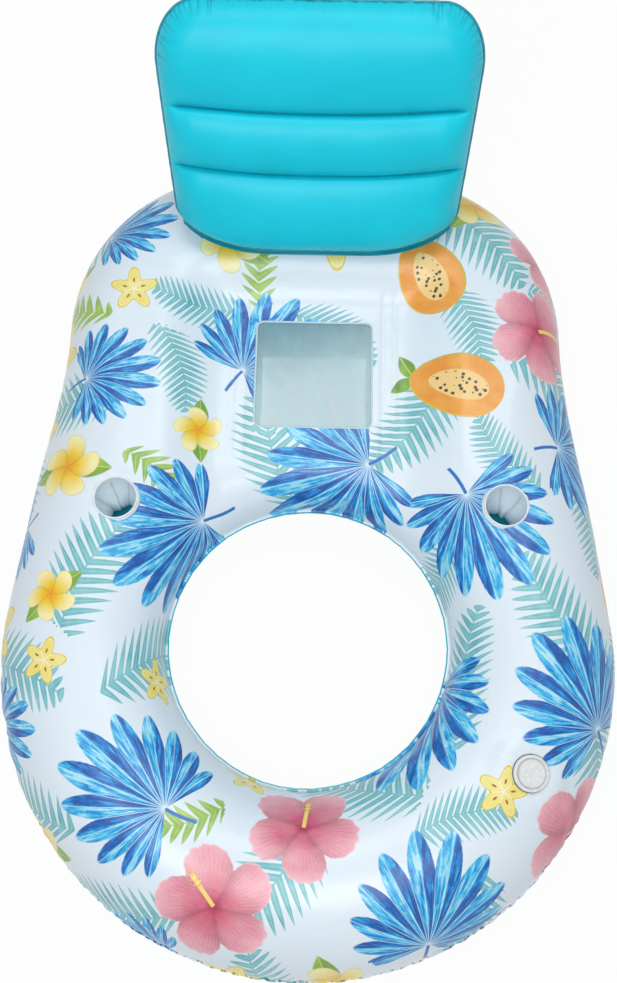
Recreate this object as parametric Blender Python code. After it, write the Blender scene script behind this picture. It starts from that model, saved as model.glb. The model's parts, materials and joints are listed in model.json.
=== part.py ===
"""Inflatable pool chair: a pear-shaped vinyl ring with a leg hole, a mesh seat window, two cup
holders and a big screw valve, and a three-chamber backrest welded across its head end.

Metres, +Z up. +Y runs from foot to head and +X is to the right when looking that way. The
drawing below is made about the middle of the leg hole; the finished chair is then moved so that
the origin is the bottom centre of its box.
"""
import math

import bmesh
import bpy
from mathutils import Matrix, Vector
from mathutils.bvhtree import BVHTree
from mathutils.geometry import intersect_line_line_2d

# Vinyl and clearances
SHEET = 0.0004
GAP = 0.0003
LIP = 0.004
CUT_OVERRUN = 0.05

# Plan of the ring, about the middle of the leg hole
LEG_HOLE_RADIUS = 0.244
FOOT_RADIUS = 0.5215
FOOT_SHIFT = 0.018
SIDE_START = math.radians(6)
SIDE_HANDLE_SHARES = (0.43, 0.19)
HEAD_HALF_WIDTH = 0.4495
HEAD_CENTRE_Y = 0.556
HEAD_LENGTH = 0.37
HEAD_POWER = 2.25
FOOT_STEPS = 14
SIDE_STEPS = 7
HEAD_STEPS = 13

# Section of the ring
SEAM_HEIGHT = 0.125
CROWN_RISE = 0.125
BELLY_DROP = 0.130
OUTER_SEAM_ANGLE = math.radians(-20)
TUBE_SPAN = 0.30
MATTRESS_SPAN = 0.55
SEAT_FRONT_ROUND = 0.105
HEAD_ROUND = 0.150
TURN_PER_ROW = math.radians(20)
ROW_SPACING = 0.12
TOP_ROWS = 13
BOTTOM_ROWS = 10
FINE_STEPS = 24

# Dished seat
SEAT_FULLNESS_SHARE = 0.62
SEAT_HALF_WIDTH = 0.155
SEAT_SIDE_BLEND = 0.115
SEAT_FOOT_Y = 0.20
SEAT_FOOT_BLEND = 0.12
SEAT_HEAD_Y = 0.60
SEAT_HEAD_BLEND = 0.09

# Mesh window, its well and its net
WINDOW_Y = 0.472
WINDOW_HALF_WIDTH = 0.103
WINDOW_HALF_LENGTH = 0.100
WINDOW_CORNER = 0.012
WINDOW_BORDER = 0.010
CORNER_STEPS = 4
NET_CELL = 0.0245
NET_STRAND = 0.0030
NET_THICKNESS = 0.0007
TAPE_THICKNESS = 0.0004

# Tie strips that hold the seat and the backrest flat
TIE_X = 0.133
TIE_START_Y = 0.300
TIE_END_Y = 0.620
TIE_FLANGE_HALF = 0.0145
TIE_STATIONS = 9
TIE_SAMPLES = 5

# Cup holders
CUP_BEARING = math.radians(34.09)
CUP_TUBE_SHARE = 0.456
CUP_RADIUS = 0.0355
CUP_FLOOR_RADIUS = 0.0315
CUP_DEPTH = 0.115
CUP_FLANGE = 0.008
CUP_SEGMENTS = 24

# Main valve, turned about its own axis; heights are from the sheet
VALVE_BEARING = math.radians(-31.47)
VALVE_TUBE_SHARE = 0.599
VALVE_SEGMENTS = 28
COLLAR_RADIUS = 0.0295
COLLAR_BORE = 0.0260
COLLAR_RISE = 0.0012
COLLAR_DEPTH = 0.014
VALVE_FLANGE = 0.011
VALVE_FLANGE_THICKNESS = 0.0008
SEAL_THICKNESS = 0.0010
SEAL_BAND = 0.0030
INSERT_WALL = 0.0032
INSERT_RIM = 0.0016
INSERT_LENGTH = 0.0135
SPIDER_THICKNESS = 0.0016
SPIDER_BAR = 0.0030
SPIDER_HUB = 0.0045
FLAP_THICKNESS = 0.0010
FLAP_STEM_RADIUS = 0.0014
FLAP_STEM_LENGTH = 0.0075
CAP_TOP = 0.0026
CAP_DISH = 0.0012
CAP_RIM = 0.0035
CAP_SKIRT_WALL = 0.0022
CAP_SKIRT_LENGTH = 0.0085

# Backrest pillow, in its own plane: across, up the slope and towards the sitter
BACKREST_Y = 0.690
BACKREST_LEAN = math.radians(55)
BACKREST_LIFT = 0.0155
CHAMBER_HEIGHTS = (0.151, 0.106, 0.166)
CHAMBER_STEPS = (7, 5, 7)
PILLOW_THICKNESS = 0.096
PILLOW_HALF_TOP = 0.270
PILLOW_HALF_BASE = 0.243
PILLOW_CORNER = 0.070
PILLOW_SIDE_ROUND = 0.055
PILLOW_BASE_RISE = 0.060
PILLOW_BASE_FLAT_SHARE = 0.30
PILLOW_WRAP = 0.040
CREASE_SHARE = 0.56
PILLOW_COLUMNS = 16
PILLOW_TIE_HALF = 0.0075
PILLOW_TIE_INSET = 0.060
WELD_HALF_WIDTH = 0.012
WELD_STATIONS = 7

# Backrest valve, on the back of the lower chamber
STEM_X = -0.135
STEM_UP = 0.070
STEM_SEGMENTS = 16
STEM_RADIUS = 0.0062
STEM_BORE = 0.0040
STEM_OUT = 0.014
STEM_IN = 0.012
STEM_HEAD_RADIUS = 0.0085
STEM_HEAD = 0.0016
STEM_COLLAR_WALL = 0.0020
STEM_COLLAR_DEPTH = 0.006
STEM_FLANGE = 0.009
STEM_FLAP_THICKNESS = 0.0008
PLUG_PIN_LENGTH = 0.008
PLUG_HEAD = 0.0022
PLUG_HEAD_RADIUS = 0.0080

# Colours, roughness
PRINT_WHITE = ((0.80, 0.88, 0.94), 0.32)
TEAL = ((0.05, 0.60, 0.68), 0.30)
CLEAR_WHITE = ((0.86, 0.89, 0.90), 0.40)
NET_BLUE = ((0.45, 0.64, 0.71), 0.60)
VALVE_WHITE = ((0.90, 0.91, 0.90), 0.35)
SEAL_GREY = ((0.30, 0.32, 0.33), 0.70)
INNER_VINYL = ((0.70, 0.80, 0.86), 0.45)


def clear_scene():
    """Remove whatever the file opened with."""
    for obj in list(bpy.data.objects):
        bpy.data.objects.remove(obj, do_unlink=True)


def smooth(value, start, end):
    """Ease from 0 at start to 1 at end."""
    share = min(max((value - start) / (end - start), 0.0), 1.0)
    return share * share * (3.0 - 2.0 * share)


def mix(low, high, share):
    """Blend two numbers."""
    return low + (high - low) * share


def add_object(name, bm, look, frame=None):
    """Make a named object with its own material from a bmesh drawn in a frame."""
    mesh = bpy.data.meshes.new(name)
    bm.to_mesh(mesh)
    bm.free()
    mesh.shade_smooth()
    mesh.set_sharp_from_angle(angle=math.radians(40))
    colour, roughness = look
    material = bpy.data.materials.new(name)
    material.use_nodes = True
    shader = material.node_tree.nodes["Principled BSDF"]
    shader.inputs["Base Color"].default_value = (*colour, 1.0)
    shader.inputs["Roughness"].default_value = roughness
    shader.inputs["Metallic"].default_value = 0.0
    mesh.materials.append(material)
    obj = bpy.data.objects.new(name, mesh)
    bpy.context.scene.collection.objects.link(obj)
    if frame is not None:
        obj.matrix_world = frame
    return obj


def add_solid(name, bm, look, frame=None):
    """Make an object from a closed bmesh, with its faces turned outwards."""
    bmesh.ops.recalc_face_normals(bm, faces=bm.faces)
    return add_object(name, bm, look, frame)


def add_cutter(name, bm, frame=None):
    """Make a hidden solid that cuts others."""
    bmesh.ops.recalc_face_normals(bm, faces=bm.faces)
    mesh = bpy.data.meshes.new(name)
    bm.to_mesh(mesh)
    bm.free()
    cutter = bpy.data.objects.new(name, mesh)
    bpy.context.scene.collection.objects.link(cutter)
    if frame is not None:
        cutter.matrix_world = frame
    cutter.hide_render = True
    cutter.display_type = "WIRE"
    return cutter


def thicken(obj, even):
    """Give a skin the vinyl's thickness, on its inner side, and at its bends too where even."""
    modifier = obj.modifiers.new("sheet", "SOLIDIFY")
    modifier.thickness = SHEET
    modifier.offset = -1.0
    modifier.use_even_offset = even


def cut(obj, cutter):
    """Cut a solid out of an object."""
    modifier = obj.modifiers.new(cutter.name, "BOOLEAN")
    modifier.operation = "DIFFERENCE"
    modifier.solver = "EXACT"
    modifier.object = cutter


def skin(rows, closed):
    """A quad skin through rows of points; closed joins the last row to the first."""
    bm = bmesh.new()
    lines = [[bm.verts.new(point) for point in row] for row in rows]
    pairs = list(zip(lines, lines[1:]))
    if closed:
        pairs.append((lines[-1], lines[0]))
    for near, far in pairs:
        for k in range(len(near) - 1):
            bm.faces.new((near[k], near[k + 1], far[k + 1], far[k]))
    return bm


def swept(loops):
    """A solid through equal closed loops, capped at both ends."""
    bm = bmesh.new()
    rings = [[bm.verts.new(point) for point in loop] for loop in loops]
    for near, far in zip(rings, rings[1:]):
        for k, vert in enumerate(near):
            after = (k + 1) % len(near)
            bm.faces.new((vert, near[after], far[after], far[k]))
    bm.faces.new(rings[0])
    bm.faces.new(rings[-1])
    return bm


def turned(profile, segments):
    """Turn a closed outline of (radius, height) about the local Z axis.

    A height may be a function of x and y, for a flange that follows the sheet it is welded to.
    Points at radius zero become one vertex each.
    """
    bm = bmesh.new()
    columns = []
    poles = {}
    for step in range(segments):
        angle = 2.0 * math.pi * step / segments
        column = []
        for index, (radius, height) in enumerate(profile):
            x = radius * math.cos(angle)
            y = radius * math.sin(angle)
            z = height(x, y) if callable(height) else height
            if radius > 0.0:
                column.append(bm.verts.new((x, y, z)))
            else:
                if index not in poles:
                    poles[index] = bm.verts.new((0.0, 0.0, z))
                column.append(poles[index])
        columns.append(column)
    for step, near in enumerate(columns):
        far = columns[(step + 1) % segments]
        for k in range(len(profile)):
            after = (k + 1) % len(profile)
            corners = []
            for vert in (near[k], near[after], far[after], far[k]):
                if vert not in corners:
                    corners.append(vert)
            if len(corners) > 2:
                bm.faces.new(corners)
    return bm


def rounded_rectangle(half_x, half_y, corner, centre_y):
    """Points of a rectangle with round corners, anticlockwise."""
    points = []
    for quarter, (side_x, side_y) in enumerate(((1, 1), (-1, 1), (-1, -1), (1, -1))):
        for step in range(CORNER_STEPS + 1):
            angle = (quarter + step / CORNER_STEPS) * math.pi / 2.0
            x = side_x * (half_x - corner) + corner * math.cos(angle)
            y = side_y * (half_y - corner) + corner * math.sin(angle)
            points.append((x, centre_y + y))
    return points


class Sheet:
    """A skin to measure against, so that what is welded to it lies one clearance from it."""

    def __init__(self, bm):
        bm.normal_update()
        self.tree = BVHTree.FromBMesh(bm)

    def hit(self, start, direction):
        """Where a line from start meets the skin, and the skin's normal there."""
        point, normal, _index, _distance = self.tree.ray_cast(start, direction)
        return point, normal

    def inside(self, frame, x, y, sign):
        """Height in a frame of a point one clearance inside the sheet, above or below."""
        axis = frame.to_3x3() @ Vector((0.0, 0.0, sign))
        start = frame @ Vector((x, y, 0.0)) - axis * CUT_OVERRUN
        point, normal = self.hit(start, axis)
        slant = abs(normal.dot(axis))
        reach = (point - frame.translation).dot(axis) - (SHEET + GAP) / slant
        return sign * reach

    def nearest_inside(self, frame, x_range, y_range, sign):
        """The height of least reach over a patch, which clears the whole patch."""
        heights = []
        for i in range(TIE_SAMPLES):
            for j in range(TIE_SAMPLES):
                x = mix(*x_range, i / (TIE_SAMPLES - 1))
                y = mix(*y_range, j / (TIE_SAMPLES - 1))
                heights.append(sign * self.inside(frame, x, y, sign))
        return sign * min(heights)


def half_outline():
    """Right-hand outer edge of the ring, from the foot round to the head."""
    points = []
    for step in range(FOOT_STEPS):
        angle = mix(-math.pi / 2.0, SIDE_START, step / FOOT_STEPS)
        points.append((FOOT_RADIUS * math.cos(angle), FOOT_RADIUS * math.sin(angle) - FOOT_SHIFT))
    start = Vector((FOOT_RADIUS * math.cos(SIDE_START), FOOT_RADIUS * math.sin(SIDE_START) - FOOT_SHIFT))
    end = Vector((HEAD_HALF_WIDTH, HEAD_CENTRE_Y))
    run = (end - start).length
    leave = start + Vector((-math.sin(SIDE_START), math.cos(SIDE_START))) * run * SIDE_HANDLE_SHARES[0]
    arrive = end - Vector((0.0, run * SIDE_HANDLE_SHARES[1]))
    for step in range(SIDE_STEPS):
        t = step / SIDE_STEPS
        s = 1.0 - t
        point = start * s ** 3 + leave * 3.0 * s * s * t + arrive * 3.0 * s * t * t + end * t ** 3
        points.append((point.x, point.y))
    for step in range(HEAD_STEPS + 1):
        angle = math.pi / 2.0 * step / HEAD_STEPS
        across = max(math.cos(angle), 0.0) ** (2.0 / HEAD_POWER)
        along = math.sin(angle) ** (2.0 / HEAD_POWER)
        points.append((HEAD_HALF_WIDTH * across, HEAD_CENTRE_Y + HEAD_LENGTH * along))
    points[-1] = (0.0, points[-1][1])
    points[0] = (0.0, points[0][1])
    return points


def outline():
    """The whole outer edge, anticlockwise from the foot."""
    right = half_outline()
    left = [(-x, y) for x, y in reversed(right[1:-1])]
    return right + left


def on_tube(bearing, share):
    """A point of the ring's plan at a bearing, a share of the way from the leg hole to the outer edge."""
    direction = Vector((math.cos(bearing), math.sin(bearing)))
    beyond = direction * (HEAD_CENTRE_Y + HEAD_LENGTH + FOOT_RADIUS)
    edge = [Vector(point) for point in half_outline()]
    for near, far in zip(edge, edge[1:]):
        crossing = intersect_line_line_2d(Vector((0.0, 0.0)), beyond, near, far)
        if crossing is not None:
            return direction * mix(LEG_HOLE_RADIUS, crossing.length, share)
    raise ValueError("the bearing misses the right-hand edge")


def fullness(x, y):
    """How far the sheets stand off the seam plane here, as a share of a full tube."""
    across = 1.0 - smooth(abs(x), SEAT_HALF_WIDTH, SEAT_HALF_WIDTH + SEAT_SIDE_BLEND)
    head = 1.0 - smooth(y, SEAT_HEAD_Y, SEAT_HEAD_Y + SEAT_HEAD_BLEND)
    foot = smooth(y, SEAT_FOOT_Y - SEAT_FOOT_BLEND, SEAT_FOOT_Y)
    return 1.0 - (1.0 - SEAT_FULLNESS_SHARE) * across * head * foot


def section(span, side):
    """Section of one sheet as (distance from the hole, height share, turned angle).

    side is +1 for the top sheet, inner seam to outer seam, and -1 for the bottom sheet, outer
    seam to inner seam. A narrow span is one round tube and a wide one a mattress.
    """
    wide = smooth(span, TUBE_SPAN, MATTRESS_SPAN)
    inner = mix(span / 2.0, SEAT_FRONT_ROUND, wide)
    outer = mix(span / 2.0, HEAD_ROUND, wide)
    if side > 0:
        hole_wall = (math.pi, math.pi / 2.0)
        far_wall = (math.pi / 2.0, OUTER_SEAM_ANGLE)
    else:
        hole_wall = (-math.pi / 2.0, -math.pi)
        far_wall = (OUTER_SEAM_ANGLE, -math.pi / 2.0)
    points_hole = []
    points_far = []
    for step in range(FINE_STEPS + 1):
        share = step / FINE_STEPS
        angle = mix(*hole_wall, share)
        points_hole.append((inner * (1.0 + math.cos(angle)), math.sin(angle), angle))
        angle = mix(*far_wall, share)
        points_far.append((span - outer * (1.0 - math.cos(angle)), math.sin(angle), angle))
    return points_hole + points_far if side > 0 else points_far + points_hole


def spread(points, rows, rise):
    """Pick rows + 1 points off a fine section, closer together where it turns."""
    weights = [0.0]
    for (d0, h0, a0), (d1, h1, a1) in zip(points, points[1:]):
        run = math.hypot(d1 - d0, (h1 - h0) * rise)
        weights.append(weights[-1] + run / ROW_SPACING + abs(a1 - a0) / TURN_PER_ROW)
    picked = []
    index = 0
    for row in range(rows + 1):
        target = weights[-1] * row / rows
        while index < len(points) - 2 and weights[index + 1] < target:
            index += 1
        width = weights[index + 1] - weights[index]
        share = min((target - weights[index]) / width, 1.0) if width > 0.0 else 0.0
        picked.append(tuple(mix(p, q, share) for p, q in zip(points[index], points[index + 1])))
    return picked


def ring_row(edge_x, edge_y, side):
    """One row of a ring sheet's outer surface, with its weld lips at both ends."""
    edge = Vector((edge_x, edge_y, 0.0))
    outward = edge.normalized()
    rim = outward * LEG_HOLE_RADIUS
    span = edge.length - LEG_HOLE_RADIUS
    rise = CROWN_RISE if side > 0 else BELLY_DROP
    rows = TOP_ROWS if side > 0 else BOTTOM_ROWS
    row = []
    for distance, height, _angle in spread(section(span, side), rows, rise):
        point = rim + outward * distance
        depth = CROWN_RISE if height > 0.0 else BELLY_DROP
        point.z = max(SEAM_HEIGHT + depth * height * fullness(point.x, point.y), 0.0)
        row.append(point)
    up = Vector((0.0, 0.0, 1.0))
    lean_out = outward * math.cos(OUTER_SEAM_ANGLE) + up * math.sin(OUTER_SEAM_ANGLE)
    down = outward * math.sin(OUTER_SEAM_ANGLE) - up * math.cos(OUTER_SEAM_ANGLE)
    if side > 0:
        return [row[0] - outward * LIP] + row + [row[-1] + lean_out * LIP]
    step = 2.0 * SHEET + GAP
    row[0] = row[0] + down * step
    row[-1] = row[-1] - up * step
    return [row[0] + lean_out * LIP] + row + [row[-1] - outward * LIP]


def make_ring_sheets():
    """Top and bottom vinyl sheets of the ring, and skins to measure against."""
    edge = outline()
    top = skin([ring_row(x, y, 1) for x, y in edge], True)
    bottom = skin([ring_row(x, y, -1) for x, y in edge], True)
    sheets = Sheet(top), Sheet(bottom)
    top_sheet = add_object("ring_top_sheet", top, PRINT_WHITE)
    bottom_sheet = add_object("ring_bottom_sheet", bottom, TEAL)
    thicken(top_sheet, True)
    thicken(bottom_sheet, True)
    return top_sheet, bottom_sheet, sheets


def frame_ring(name, outer, inner, low, high, look):
    """A flat window-shaped ring between two outlines and two heights."""
    loops = []
    for k in range(len(outer)):
        x_out, y_out = outer[k]
        x_in, y_in = inner[k]
        loops.append(((x_out, y_out, low), (x_out, y_out, high), (x_in, y_in, high), (x_in, y_in, low)))
    return add_solid(name, closed_sweep(loops), look)


def closed_sweep(loops):
    """A solid through equal closed loops whose last loop joins the first."""
    bm = bmesh.new()
    rings = [[bm.verts.new(point) for point in loop] for loop in loops]
    for index, near in enumerate(rings):
        far = rings[(index + 1) % len(rings)]
        for k, vert in enumerate(near):
            after = (k + 1) % len(near)
            bm.faces.new((vert, near[after], far[after], far[k]))
    return bm


def window_outline(grow):
    """The window's outline, grown outwards."""
    half_x = WINDOW_HALF_WIDTH + grow
    half_y = WINDOW_HALF_LENGTH + grow
    return rounded_rectangle(half_x, half_y, WINDOW_CORNER + grow, WINDOW_Y)


def make_net(top):
    """A diamond net with a solid border, one sheet with square holes turned on their corners."""
    columns = 2 * round(WINDOW_HALF_WIDTH / NET_CELL)
    rows = 2 * round(WINDOW_HALF_LENGTH / NET_CELL)
    half_x = WINDOW_HALF_WIDTH / columns
    half_y = WINDOW_HALF_LENGTH / rows
    inset_x = half_x - NET_STRAND / 2.0
    inset_y = half_y - NET_STRAND / 2.0
    bm = bmesh.new()
    knots = {}

    def knot(i, j):
        """The shared vertex at a half-cell step across and along."""
        if (i, j) not in knots:
            point = (-WINDOW_HALF_WIDTH + i * half_x, WINDOW_Y - WINDOW_HALF_LENGTH + j * half_y, top)
            knots[(i, j)] = bm.verts.new(point)
        return knots[(i, j)]

    wide = 2 * columns
    tall = 2 * rows
    for i in range(wide + 1):
        for j in range(tall + 1):
            if (i + j) % 2 == 0:
                continue
            steps = ((1, 0), (0, 1), (-1, 0), (0, -1))
            around = [(i + a, j + b) for a, b in steps if 0 <= i + a <= wide and 0 <= j + b <= tall]
            if len(around) < 4:
                if len(around) == 3:
                    bm.faces.new([knot(a, b) for a, b in around])
                continue
            centre_x = -WINDOW_HALF_WIDTH + i * half_x
            centre_y = WINDOW_Y - WINDOW_HALF_LENGTH + j * half_y
            hole = [bm.verts.new((centre_x + a * inset_x, centre_y + b * inset_y, top)) for a, b in steps]
            for k in range(4):
                after = (k + 1) % 4
                bm.faces.new((knot(*around[k]), knot(*around[after]), hole[after], hole[k]))
    rim = [v for (i, j), v in knots.items() if i in (0, wide) or j in (0, tall)]
    border = [e for e in bm.edges if e.is_boundary and e.verts[0] in rim and e.verts[1] in rim]
    grown = bmesh.ops.extrude_edge_only(bm, edges=border)
    reach_x = (WINDOW_HALF_WIDTH + WINDOW_BORDER) / WINDOW_HALF_WIDTH
    reach_y = (WINDOW_HALF_LENGTH + WINDOW_BORDER) / WINDOW_HALF_LENGTH
    for vert in (v for v in grown["geom"] if isinstance(v, bmesh.types.BMVert)):
        vert.co.x *= reach_x
        vert.co.y = WINDOW_Y + (vert.co.y - WINDOW_Y) * reach_y
    bmesh.ops.recalc_face_normals(bm, faces=bm.faces)
    if sum(face.normal.z for face in bm.faces) < 0.0:
        bmesh.ops.reverse_faces(bm, faces=bm.faces)
    net = add_object("seat_mesh", bm, NET_BLUE)
    modifier = net.modifiers.new("strand", "SOLIDIFY")
    modifier.thickness = NET_THICKNESS
    modifier.offset = -1.0
    return net


def make_seat(top_sheet, bottom_sheet, sheets):
    """The window through the seat, its well, its net and the tape that welds the net in."""
    prism = [(x, y, -CUT_OVERRUN) for x, y in window_outline(0.0)]
    roof = [(x, y, SEAM_HEIGHT + CROWN_RISE + CUT_OVERRUN) for x, y, _z in prism]
    cutter = add_cutter("window_cutter", swept([prism, roof]))
    cut(top_sheet, cutter)
    cut(bottom_sheet, cutter)

    level = Matrix.Translation((0.0, 0.0, SEAM_HEIGHT))
    reach_x = WINDOW_HALF_WIDTH + WINDOW_BORDER
    x_range = (-reach_x, reach_x)
    y_range = (WINDOW_Y - WINDOW_HALF_LENGTH - WINDOW_BORDER, WINDOW_Y + WINDOW_HALF_LENGTH + WINDOW_BORDER)
    net_top = SEAM_HEIGHT + sheets[0].nearest_inside(level, x_range, y_range, 1)
    well_low = SEAM_HEIGHT + sheets[1].nearest_inside(level, x_range, y_range, -1)
    make_net(net_top)
    tape_top = net_top - NET_THICKNESS - GAP
    tape_low = tape_top - TAPE_THICKNESS
    frame_ring("mesh_weld_tape", window_outline(WINDOW_BORDER), window_outline(GAP), tape_low, tape_top,
               CLEAR_WHITE)

    well_top = tape_low - GAP
    outer = window_outline(WINDOW_BORDER)
    wall_out = window_outline(GAP + SHEET)
    wall_in = window_outline(GAP)
    loops = []
    for (xf, yf), (xo, yo), (xi, yi) in zip(outer, wall_out, wall_in):
        loops.append(((xi, yi, well_low), (xi, yi, well_top), (xf, yf, well_top), (xf, yf, well_top - SHEET),
                      (xo, yo, well_top - SHEET), (xo, yo, well_low + SHEET), (xf, yf, well_low + SHEET),
                      (xf, yf, well_low)))
    add_solid("seat_well_wall", closed_sweep(loops), INNER_VINYL)


def tie_strip(name, frame, flange_half, stations, sheets, look):
    """An I-shaped strip inside a chamber, its flanges welded to the sheets above and below it."""
    spacing = stations[1] - stations[0]
    loops = []
    for y in stations:
        x_range = (-flange_half, flange_half)
        y_range = (max(y - spacing, stations[0]), min(y + spacing, stations[-1]))
        high = sheets[0].nearest_inside(frame, x_range, y_range, 1)
        low = sheets[1].nearest_inside(frame, x_range, y_range, -1)
        web = SHEET / 2.0
        loops.append([(-flange_half, y, high), (flange_half, y, high), (flange_half, y, high - SHEET),
                      (web, y, high - SHEET), (web, y, low + SHEET), (flange_half, y, low + SHEET),
                      (flange_half, y, low), (-flange_half, y, low), (-flange_half, y, low + SHEET),
                      (-web, y, low + SHEET), (-web, y, high - SHEET), (-flange_half, y, high - SHEET)])
    return add_solid(name, swept(loops), look, frame)


def make_seat_ties(sheets):
    """Two tie strips beside the window, from the leg hole to the backrest."""
    stations = [mix(TIE_START_Y, TIE_END_Y, k / (TIE_STATIONS - 1)) for k in range(TIE_STATIONS)]
    for name, x in (("left_seat_baffle", -TIE_X), ("right_seat_baffle", TIE_X)):
        frame = Matrix.Translation((x, 0.0, SEAM_HEIGHT))
        tie_strip(name, frame, TIE_FLANGE_HALF, stations, sheets, INNER_VINYL)


def make_cup(side, sign, top_sheet, sheet):
    """One cup holder: a tapered sleeve hung from the top sheet, and its floor."""
    place = on_tube(CUP_BEARING, CUP_TUBE_SHARE)
    surface, _normal = sheet.hit(Vector((sign * place.x, place.y, SEAM_HEIGHT)), Vector((0.0, 0.0, 1.0)))
    frame = Matrix.Translation(surface)

    def seat(px, py):
        """One clearance under the sheet."""
        return sheet.inside(frame, px, py, 1)

    def under_seat(px, py):
        """The lower face of the flange."""
        return seat(px, py) - SHEET

    foot = CUP_FLOOR_RADIUS + CUP_FLANGE
    low = -CUP_DEPTH
    profile = [(CUP_RADIUS + CUP_FLANGE, seat), (CUP_RADIUS, seat), (CUP_FLOOR_RADIUS, low), (foot, low),
               (foot, low + SHEET), (CUP_FLOOR_RADIUS + SHEET, low + SHEET),
               (CUP_RADIUS + SHEET, under_seat), (CUP_RADIUS + CUP_FLANGE, under_seat)]
    add_solid(side + "_cup_sleeve", turned(profile, CUP_SEGMENTS), INNER_VINYL, frame)
    high = low - GAP
    floor = [(0.0, high), (foot, high), (foot, high - 2.0 * SHEET), (0.0, high - 2.0 * SHEET)]
    add_solid(side + "_cup_floor", turned(floor, CUP_SEGMENTS), TEAL, frame)
    hole = [(0.0, CUT_OVERRUN), (CUP_RADIUS, CUT_OVERRUN), (CUP_RADIUS, -CUT_OVERRUN), (0.0, -CUT_OVERRUN)]
    cut(top_sheet, add_cutter(side + "_cup_cutter", turned(hole, CUP_SEGMENTS), frame))


def surface_frame(sheet, start, direction, reach):
    """A frame on a sheet: its origin on the sheet and its Z axis the sheet's mean normal."""
    side = direction.orthogonal().normalized()
    other = direction.cross(side)
    corners = [sheet.hit(start + step * reach, direction)[0] for step in (side, other, -side, -other)]
    normal = (corners[2] - corners[0]).cross(corners[3] - corners[1]).normalized()
    if normal.dot(direction) < 0.0:
        normal.negate()
    centre, _normal = sheet.hit(start, direction)
    frame = normal.to_track_quat("Z", "Y").to_matrix().to_4x4()
    frame.translation = centre
    return frame


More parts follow.
